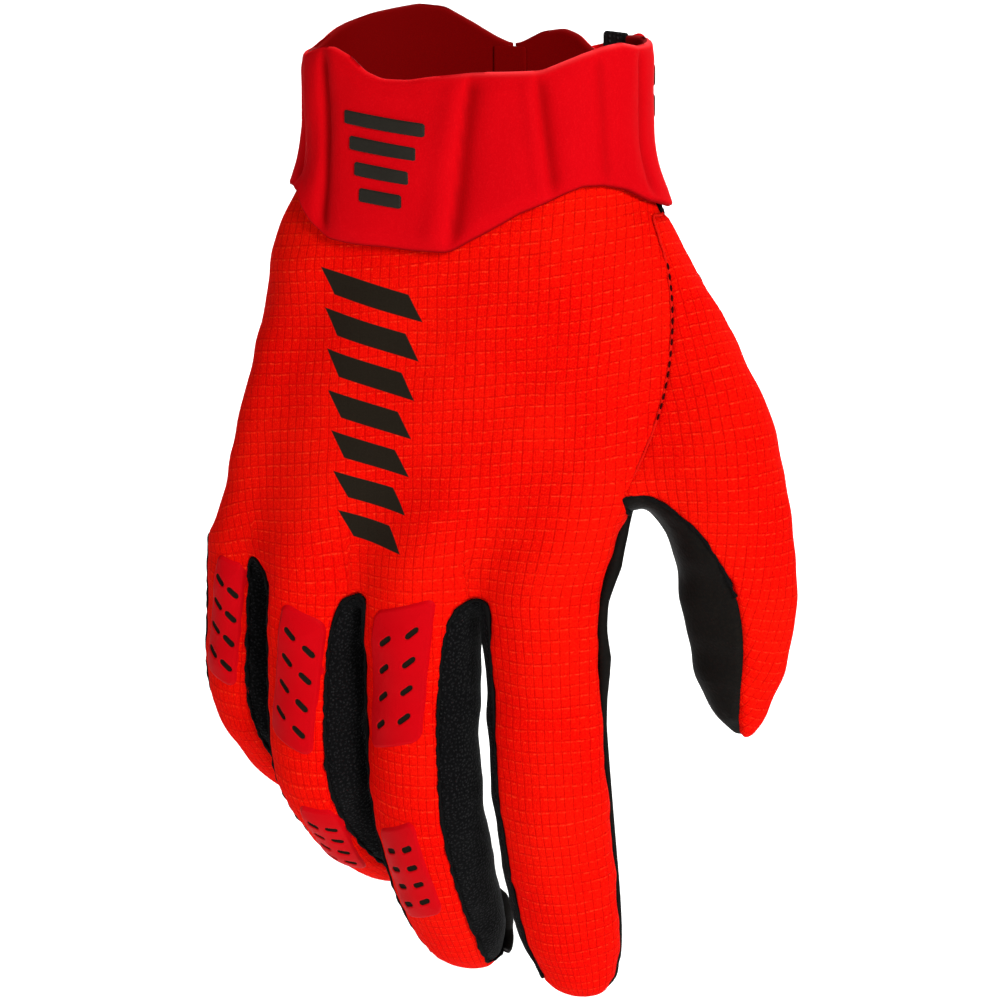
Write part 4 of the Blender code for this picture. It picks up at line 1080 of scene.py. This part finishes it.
def makeRoll(name):
    # A tube beside the seam, moved out by half its own width
    first, second, leastX, mostX, seat, heights, widths = rolls["rows"][name]
    low, high = heights[0] * mm, heights[-1] * mm
    runs = seamPath(first, second)
    kept = [(points[:, 2] < high) & (points[:, 2] > low) & (points[:, 0] > leastX * mm)
            & (points[:, 0] < mostX * mm) for points, _ in runs]
    chosen = int(np.argmax([part.sum() for part in kept]))
    points, normals = [values[kept[chosen]] for values in runs[chosen]]
    points, normals, _ = evenPath(smoothPath(points, rolls["smoothing"]), normals, rolls["step"])
    wide = np.interp(points[:, 2] / mm, heights, widths) * mm
    centre = points + unit(np.array(rolls["out"])) * (wide / 2 + seat * mm)[:, None]
    half = wide / 2 + rolls["margin"]
    body, quads, triangles = tubeParts(centre, normals, half, half, rolls["sides"])
    piece = makePiece(name, body, [quads, triangles], palmLeather)
    print(name, len(points), "rings, heights", low, "to", high)


for rollName in rolls["rows"]:
    makeRoll(rollName)

thumbStitches = {"spacing": 2.35 * mm, "length": 1.5 * mm, "radius": 0.27 * mm, "sink": 0.16 * mm,
                 "sideways": -0.15 * mm, "top": -40 * mm, "end": -76 * mm, "step": 0.6 * mm, "smoothing": 3,
                 "lift": 0.10 * mm, "seed": 21}


def makeThumbStitches():
    # They show only on the upper half of the seam and lie hidden in it lower down
    points, normals = seamPath("back_panel", "thumb_back")[0]
    shown = (points[:, 2] < thumbStitches["top"]) & (points[:, 2] > thumbStitches["end"])
    points, normals, along = evenPath(smoothPath(points[shown], thumbStitches["smoothing"]), normals[shown],
                                      thumbStitches["step"])
    body, faces = stitchParts(points + normals * thumbStitches["lift"], normals, along, thumbStitches)
    piece = makePiece("thumb_seam_stitches", body, faces, darkThread)


makeThumbStitches()
print("seams and stitches sewn")


cuff = {"wall": 2.2 * mm, "fit": 0.5 * mm, "height": 38.7 * mm, "rise": 10 * mm, "rim": 1.1 * mm,
        "band": (-180.7, 131), "tongue": (148, 178.8), "rows": 44, "columnStep": 0.9, "crowding": 0.55,
        "crown": 0.65 * mm, "tuck": 1.0 * mm, "tuckAngle": -62, "tuckWide": 15, "softEdge": 4.5 * mm,
        "wave": 0.12 * mm, "waveLength": 14 * mm, "soften": 2.5, "softenWeight": 1.6,
        "ridgeAway": 2.4, "ridgeWide": 1.9, "puffReach": 7.0, "edgeRelief": 0.15,
        "brightReach": 0.6 * mm, "brightFrom": -5, "brightOver": 20, "shade": 0.8, "shadeReach": 0.55 * mm,
        # degrees, share of rise at the top, share of height at the bottom
        "edges": ((-181, 0.15, -0.83), (-170, 0.60, -0.83), (-160, 0.95, -0.82), (-150, 1.00, -0.82),
                  (-130, 0.80, -0.80), (-112, 0.55, -0.78), (-90, 0.18, -0.74), (-68, 0.10, -0.72),
                  (-58, 0.26, -0.74), (-47, 0.40, -0.89), (-39, 0.42, -0.97), (-31, 0.26, -0.985),
                  (-24, -0.04, -0.99), (-17, -0.18, -0.99), (-8, -0.17, -1.00), (2, -0.02, -1.00),
                  (8, 0.05, -0.93), (14, 0.08, -0.87), (25, 0.11, -0.76), (33, 0.14, -0.71),
                  (42, 0.33, -0.65), (50, 0.48, -0.61), (60, 0.62, -0.61), (71, 0.68, -0.64),
                  (84, 0.56, -0.71), (95, 0.55, -0.77), (115, 0.60, -0.80), (131, 0.55, -0.82),
                  (148, 0.10, -0.82), (153, 0.25, -0.82), (157, 0.46, -0.82), (163, 0.57, -0.82),
                  (171, 0.48, -0.83), (179, 0.15, -0.83)),
        # degrees at the top and bottom, depth, width towards lower and higher angles, ridge beside it
        "grooves": ((-158, -158, 0.9, 1.6, 1.6, 0.0), (-129, -129, 0.9, 1.6, 1.6, 0.0),
                    (-100, -98, 0.9, 1.6, 1.6, 0.0), (-69, -66, 0.9, 1.6, 1.6, 0.0),
                    (-45.5, -41.5, 1.25, 1.9, 2.1, 0.1), (8.3, 2.5, 1.25, 0.45, 2.3, 0.9),
                    (30.9, 37.5, 1.05, 0.6, 2.2, 0.7), (56.8, 61, 0.5, 1.5, 1.8, 0.15),
                    (84, 88, 0.8, 1.5, 1.5, 0.0), (110, 112, 0.7, 1.5, 1.5, 0.0))}
arcPerDegree = 0.0088 * hand["wristWidth"]  # length round the cuff for each degree
wristTable = {"lowAngle": -192.0, "angleStep": 3.0, "angles": 138, "lowHeight": -60.5 * mm,
              "heightStep": 2.0 * mm, "heights": 24, "topMargin": 0.5 * mm, "slopeReach": 1.0}


def castWrist():
    # Points of the hand's surface, seen from the wrist's axis at every angle and height of a table
    angles = wristTable["lowAngle"] + wristTable["angleStep"] * np.arange(wristTable["angles"])
    heights = wristTable["lowHeight"] + wristTable["heightStep"] * np.arange(wristTable["heights"])
    turn = np.radians(angles)
    cosine, sine = np.cos(turn), np.sin(turn)
    power = 2 / hand["power"]
    direction = np.stack([hand["wristWidth"] / 2 * np.sign(sine) * np.abs(sine)**power,
                          -hand["wristDepth"] / 2 * np.sign(cosine) * np.abs(cosine)**power,
                          np.zeros(len(turn))], -1)
    return np.array([[surfaceTree.ray_cast(Vector((0, 0, height)), Vector(way))[0][:] for height in heights]
                     for way in direction])


wristSamples = castWrist()
wristLow = (wristTable["lowAngle"], wristTable["lowHeight"])
wristStep = (wristTable["angleStep"], wristTable["heightStep"])


def wristPoint(angle, height, offset):
    # The hand's surface at an angle and a height, moved out level by an offset; above the panels'
    # top edge the wall goes straight up
    seat = np.minimum(height, -hand["panelTop"] - wristTable["topMargin"])
    place = lookUp(wristSamples, wristLow, wristStep, angle, seat)
    ahead = lookUp(wristSamples, wristLow, wristStep, angle + wristTable["slopeReach"], seat)
    behind = lookUp(wristSamples, wristLow, wristStep, angle - wristTable["slopeReach"], seat)
    way = ahead - behind
    level = unit(np.stack([way[..., 1], -way[..., 0], np.zeros_like(way[..., 0])], -1))
    result = place + level * np.asarray(offset)[..., None]
    result[..., 2] = height
    return result


print("wrist read:", wristSamples.shape)


def edgeRound(away, rim):
    # The root of 1 - (1 - distance / rim)^2: 0 on an edge and 1 a rim's width from it
    return np.sqrt(1 - (1 - np.clip(away / rim, 0, 1))**2)


def cuffEdge(angle, part):
    # The table of edges, read between its rows and softened by a running mean
    rows = np.array(cuff["edges"])
    rows = np.concatenate([rows[-3:] - [360, 0, 0], rows, rows[:3] + [360, 0, 0]])
    size = cuff["rise"] if part == 1 else cuff["height"]
    spread = np.linspace(-cuff["soften"], cuff["soften"], 9)
    weights = np.exp(-(spread / cuff["softenWeight"])**2)
    values = np.interp(np.asarray(angle)[..., None] + spread, rows[:, 0], rows[:, part])
    return values @ (weights / weights.sum()) * size


def cuffRelief(angle, down, spanHeight):
    # Crowned puffs between moulded channels: each channel is a bell-shaped dip, with a ridge beside it. The
    # second value it returns is painted shade, which darkens the colour in each groove
    lift, grooveShade = np.zeros_like(angle), np.zeros_like(angle)
    nearest = np.full_like(angle, np.inf)
    for top, low, depth, widthLow, widthHigh, ridge in cuff["grooves"]:
        line = top + (low - top) * down
        away = (angle - line) * arcPerDegree / mm
        width = np.where(away < 0, widthLow, widthHigh)
        lift -= depth * np.exp(-(away / width)**2)
        lift += ridge * np.exp(-((away + cuff["ridgeAway"]) / cuff["ridgeWide"])**2)
        # Painted shade in the groove, reaching a little towards its higher side
        grooveShade = np.maximum(grooveShade, depth * np.exp(-((away - 0.25 * width) / (0.75 * width))**2))
        nearest = np.minimum(nearest, np.abs(away))
    tuck = np.exp(-((angle - cuff["tuckAngle"]) / cuff["tuckWide"])**2)
    lift -= cuff["tuck"] / mm * tuck * smoothStep((down - 0.3) / 0.6)
    fade = smoothStep(np.minimum(down, 1 - down) * spanHeight / cuff["softEdge"])
    relief = lift * mm + cuff["crown"] * smoothStep(nearest / cuff["puffReach"])
    return relief * (cuff["edgeRelief"] + (1 - cuff["edgeRelief"]) * fade), grooveShade * fade


def makeCuffPiece(name, start, end, node):
    # A closed profile carried round the wrist: down the outside, round the lower rim and up the inside
    columns = int(np.ceil((end - start) / cuff["columnStep"])) + 1
    angle = np.linspace(start, end, columns)
    top, low = cuffEdge(angle, 1), cuffEdge(angle, 2)
    span = (top - low)[None]
    share = np.linspace(0, 1, cuff["rows"])[:, None]
    share = share - cuff["crowding"] * np.sin(2 * np.pi * share) / (2 * np.pi)
    ends = np.minimum(angle - start, end - angle) * arcPerDegree
    away = np.minimum(np.minimum(share, 1 - share) * span, ends)
    rounding = edgeRound(away, cuff["rim"])
    grid = np.broadcast_to(angle, away.shape)
    relief, grooveShade = cuffRelief(grid, np.broadcast_to(share, away.shape), span)
    height = top[None] - share * span
    half = cuff["wall"] / 2
    wave = cuff["wave"] * ripple(np.stack([grid * 0.65 * mm, height], -1), cuff["waveLength"], 31)
    outer = wristPoint(grid, height, cuff["fit"] + half + half * rounding + relief + wave)
    inner = wristPoint(grid, height, cuff["fit"] + half - half * rounding * 0.9)
    points = np.concatenate([outer.reshape(-1, 3), inner.reshape(-1, 3)])
    # Painted highlight: a lighter line along the top rim, only on the lit side from brightFrom degrees on
    bright = np.exp(-(share * span / cuff["brightReach"])**2)
    bright = bright * smoothStep((angle - cuff["brightFrom"]) / cuff["brightOver"])
    shade = cuff["shade"] * np.exp(-((1 - share) * span / cuff["shadeReach"])**2)
    outside = {"insideShade": np.zeros(away.shape), "paintedRimHighlight": bright, "grooveShade": grooveShade, "edgeShade": shade}
    # The inside is painted dark all over, as painted shade inside the cuff
    masks = {mask: np.concatenate([values.ravel(), np.full(away.size, float(mask == "insideShade"))])
             for mask, values in outside.items()}
    faces = slabFaces(cuff["rows"], columns)
    piece = makePiece(name, points, [faces], neoprene, masks=masks)
    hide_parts(node)
    print(name, len(faces), "faces")


makeCuffPiece("cuff_band_shell", *cuff["band"], "cuff_band")
makeCuffPiece("cuff_tongue_shell", *cuff["tongue"], "cuff_tongue")


def laidPatch(name, patch, bottom, wall, rim, corner, material, node, rows, columns, crown=0.0,
              slant=0.0, insideShade=0.0):
    # A slab laid round the wrist. Its outline is a rounded rectangle, met by pulling the grid's
    # corners in, and its edges are rounded
    start, end, top, low = patch
    across = np.sin(np.linspace(-1, 1, columns) * np.pi / 2)[None]
    down = np.sin(np.linspace(-1, 1, rows) * np.pi / 2)[:, None]
    halfWide, halfHigh = (end - start) / 2 * arcPerDegree, (top - low) / 2
    x, y = np.broadcast_arrays(across * halfWide, down * halfHigh)
    cornerX = np.clip((np.abs(x) - halfWide + corner) / corner, 0, 1)
    narrow = 1 - (corner / halfHigh) * (1 - np.sqrt(1 - cornerX**2))
    y = y * narrow
    rounding = edgeRound(np.minimum(halfWide - np.abs(x), halfHigh * narrow - np.abs(y)), rim)
    angle = (start + end) / 2 + x / arcPerDegree
    height = (top + low) / 2 - y - slant * x
    dome = crown * (1 - (x / halfWide)**2) * (1 - (y / halfHigh)**2)
    outer = wristPoint(angle, height, bottom + wall / 2 + wall / 2 * rounding + dome)
    inner = wristPoint(angle, height, bottom + wall / 2 - wall / 2 * rounding)
    points = np.concatenate([outer.reshape(-1, 3), inner.reshape(-1, 3)])
    # The inside-shade mask paints the patch dark as shade inside the cuff; the other painted-light masks are
    # zero
    masks = {"insideShade": np.full(len(points), insideShade)}
    masks.update({mask: np.zeros(len(points)) for mask in ("paintedRimHighlight", "grooveShade", "edgeShade")})
    piece = makePiece(name, points, [slabFaces(rows, columns)], material, masks=masks)
    if node:
        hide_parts(node)
    return piece


# Patches: two angles in degrees, then top and bottom in shares of the cuff's height
closure = {"seat": 3.05 * mm, "wall": 1.3 * mm, "tab": (122, 206, 0.01, -0.70), "slope": 0.17,
           "hook": (132.5, 146.5, 0.15, -0.62), "hookDrop": 1.3 * mm, "hookWall": 1.0 * mm,
           "gripGap": 0.1 * mm, "gripWall": 0.9 * mm,
           "grips": {"closure_grip_upper": (119, 133, -0.01, -0.14),
                     "closure_grip_lower": (119, 133, -0.18, -0.32)}}


def sharePatch(patch):
    return patch[0], patch[1], patch[2] * cuff["height"], patch[3] * cuff["height"]


def makeClosure():
    tab = closure["tab"]
    slant = closure["slope"] * cuff["height"] / ((tab[1] - tab[0]) / 2 * arcPerDegree)
    strap = laidPatch("closure_tab_strap", sharePatch(tab), closure["seat"], closure["wall"], 0.65 * mm,
                      5 * mm, neoprene, "closure_tab", 40, 110, 0.25 * mm, slant)
    laidPatch("closure_hook_tape", sharePatch(closure["hook"]), closure["seat"] - closure["hookDrop"],
              closure["hookWall"], 0.4 * mm, 1 * mm, hookTape, "closure_hook", 30, 24)
    onTab = closure["seat"] + closure["wall"] + closure["gripGap"]
    for node, patch in closure["grips"].items():
        laidPatch(node + "_rubber", sharePatch(patch), onTab, closure["gripWall"], 0.45 * mm, 1.2 * mm,
                  rubber, node, 20, 30, 0.1 * mm)


makeClosure()

jointTape = {"patch": (175.4, 183.4, 0.034, -0.80), "bottom": 0.05 * mm, "wall": 0.42 * mm}


def makeJointTape():
    # The inside tape that joins the tongue to the band, painted dark all over as shade inside the cuff
    laidPatch("cuff_joint_tape", sharePatch(jointTape["patch"]), jointTape["bottom"], jointTape["wall"],
              0.2 * mm, 0.5 * mm, neoprene, None, 30, 16, insideShade=1.0)


makeJointTape()

badge = {"bars": 4, "angle": -17, "share": 0.50, "taper": 0.16, "length": 19 * mm, "width": 3 * mm,
         "pitch": 5.4 * mm, "wall": 1.0 * mm, "bottom": 2.75 * mm, "slant": 0.10}


def makeBadge():
    # Plain slanted bars, each a little shorter than the one above it
    for bar in range(badge["bars"]):
        length = badge["length"] * (1 - badge["taper"] * bar)
        middle = -badge["share"] * cuff["height"] - (bar - (badge["bars"] - 1) / 2) * badge["pitch"]
        turn, half = length / 2 / arcPerDegree, badge["width"] / 2
        patch = (badge["angle"] - turn, badge["angle"] + turn, middle + half, middle - half)
        laidPatch(f"cuff_bar_{bar + 1}", patch, badge["bottom"], badge["wall"], 0.3 * mm, 0.6 * mm, rubber,
                  f"cuff_badge_{bar + 1}", 14, 50, slant=badge["slant"])


makeBadge()
print("closure and bars laid on the cuff")


pads = {"bottom": -0.35 * mm, "height": 0.75 * mm, "shoulder": 1.5 * mm, "cornerRadius": 3.2 * mm,
        "grid": 0.17 * mm, "rise": 0.05 * mm, "crown": 0.30 * mm, "under": 0.1 * mm,
        "slotLength": 3.4 * mm, "slotWidth": 1.6 * mm, "slotFloor": 0.22 * mm, "slotEdge": 0.30 * mm,
        "slotRows": (0.225, 0.805), "slotColumns": (-0.19, 0.19), "slotsAlong": 4,
        # finger, start, end, skew, four corner angles, lean of the slots, slant of their rows
        "rows": {"knuckle_pad_middle": ("middle", 0.002, 0.330, 0.050, 42, -33, 25, -58, 0.55, 0.10),
                 "knuckle_pad_ring": ("ring", 0.032, 0.380, -0.045, 49, -4, 31, -35, -0.50, -0.40),
                 "knuckle_pad_little": ("little", 0.045, 0.410, -0.015, 41, -2, 36, -28, -0.55, -0.40),
                 "finger_pad_middle": ("middle", 0.485, 0.740, 0.050, 10, -56, 25, -46, 0.10, 0.05),
                 "finger_pad_ring": ("ring", 0.490, 0.740, -0.010, 49, -8, 39, -24, -0.30, -0.20)}}
fingerTable = {"lowAngle": -75.0, "angleStep": 7.5, "angles": 21, "lowShare": -0.06, "shareStep": 0.03,
               "shares": 34}


def castFinger(name):
    # The hand's surface round a finger's middle line, at every distance and angle of a table
    shares = fingerTable["lowShare"] + fingerTable["shareStep"] * np.arange(fingerTable["shares"])
    angles = fingerTable["lowAngle"] + fingerTable["angleStep"] * np.arange(fingerTable["angles"])
    centre, outward, side = fingerLine(name, shares * finger[name][5] * finger["length"])
    turns = list(zip(np.cos(np.radians(angles)), np.sin(np.radians(angles))))
    return np.array([[surfaceTree.ray_cast(Vector(middle), Vector(back * cosine + side * sine))[0][:]
                      for cosine, sine in turns] for middle, back in zip(centre, outward)])


fingerSamples = {name: castFinger(name) for name in fingerNames[1:]}


def fingerPoint(name, share, angle, offset):
    # The surface of a finger at a share of its length and an angle, lifted along its normal
    low = (fingerTable["lowShare"], fingerTable["lowAngle"])
    step = (fingerTable["shareStep"], fingerTable["angleStep"])
    table = fingerSamples[name]
    place = lookUp(table, low, step, share, angle)
    alongWay = lookUp(table, low, step, share + 0.01, angle) - lookUp(table, low, step, share - 0.01, angle)
    roundWay = lookUp(table, low, step, share, angle + 2) - lookUp(table, low, step, share, angle - 2)
    return place + unit(np.cross(alongWay, roundWay)) * offset[..., None]


def makePad(node):
    # A film with soft shoulders: its height falls off smoothly with the distance to a rounded
    # outline, and dips into the slots; outside the outline it lies under the knit
    name, start, end, skew, inTop, outTop, inLow, outLow, lean, slant = pads["rows"][node]
    length = finger[name][5] * finger["length"]
    long = (end - start) * length
    radius = (finger[name][6] * finger["width"] + finger[name][7] * finger["depth"]) / 4
    wide = np.radians((inTop - outTop + inLow - outLow) / 2) * radius
    columns, rows = int(wide / pads["grid"]), int(long / pads["grid"])
    across, along = np.meshgrid(np.linspace(0, 1, columns), np.linspace(0, 1, rows))
    x, y = (across - 0.5) * wide, (along - 0.5) * long
    corner = pads["cornerRadius"]
    outX, outY = np.abs(x) - wide / 2 + corner, np.abs(y) - long / 2 + corner
    away = corner - np.hypot(np.maximum(outX, 0), np.maximum(outY, 0))
    away -= np.minimum(np.maximum(outX, outY), 0)
    slot = np.zeros_like(x)
    turn = np.arctan(lean)
    half, thick = pads["slotLength"] / 2, pads["slotWidth"] / 2
    for column in pads["slotColumns"]:
        for row in np.linspace(*pads["slotRows"], pads["slotsAlong"]):
            offX, offY = x - column * wide, y - (row - 0.5) * long - slant * column * wide
            alongSlot = offX * np.cos(turn) + offY * np.sin(turn)
            besideSlot = -offX * np.sin(turn) + offY * np.cos(turn)
            reach = np.hypot(np.maximum(np.abs(alongSlot) - half + thick, 0), besideSlot) - thick
            slot = np.maximum(slot, smoothStep(0.5 - reach / pads["slotEdge"]))
    lift = pads["bottom"] + pads["rise"] + pads["height"] * smoothStep(away / pads["shoulder"])
    lift = lift + pads["crown"] * smoothStep(away / (wide / 2))
    lift = np.where(slot > 0, lift * (1 - slot) + pads["slotFloor"] * slot, lift)
    top = inTop + (outTop - inTop) * across
    low = inLow + (outLow - inLow) * across
    angle = top + (low - top) * along
    share = start + along * (end - start) + skew * (across - 0.5)
    base = fingerPoint(name, share, angle, np.zeros_like(lift))
    waves = bendIn(base.reshape(-1, 3), "back_panel").reshape(lift.shape)
    outer = fingerPoint(name, share, angle, lift + waves)
    inner = fingerPoint(name, share, angle, waves + pads["bottom"] - pads["under"])
    points = np.concatenate([outer.reshape(-1, 3), inner.reshape(-1, 3)])
    masks = {"slot": np.concatenate([slot.ravel(), np.zeros(slot.size)])}
    piece = makePiece(node + "_film", points, [slabFaces(rows, columns)], padFilm, masks=masks)
    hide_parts(node)
    print(node, round(wide / mm, 1), "x", round(long / mm, 1), "mm,", rows * columns * 2, "points")


for padName in pads["rows"]:
    makePad(padName)
print("pads laid on the fingers")
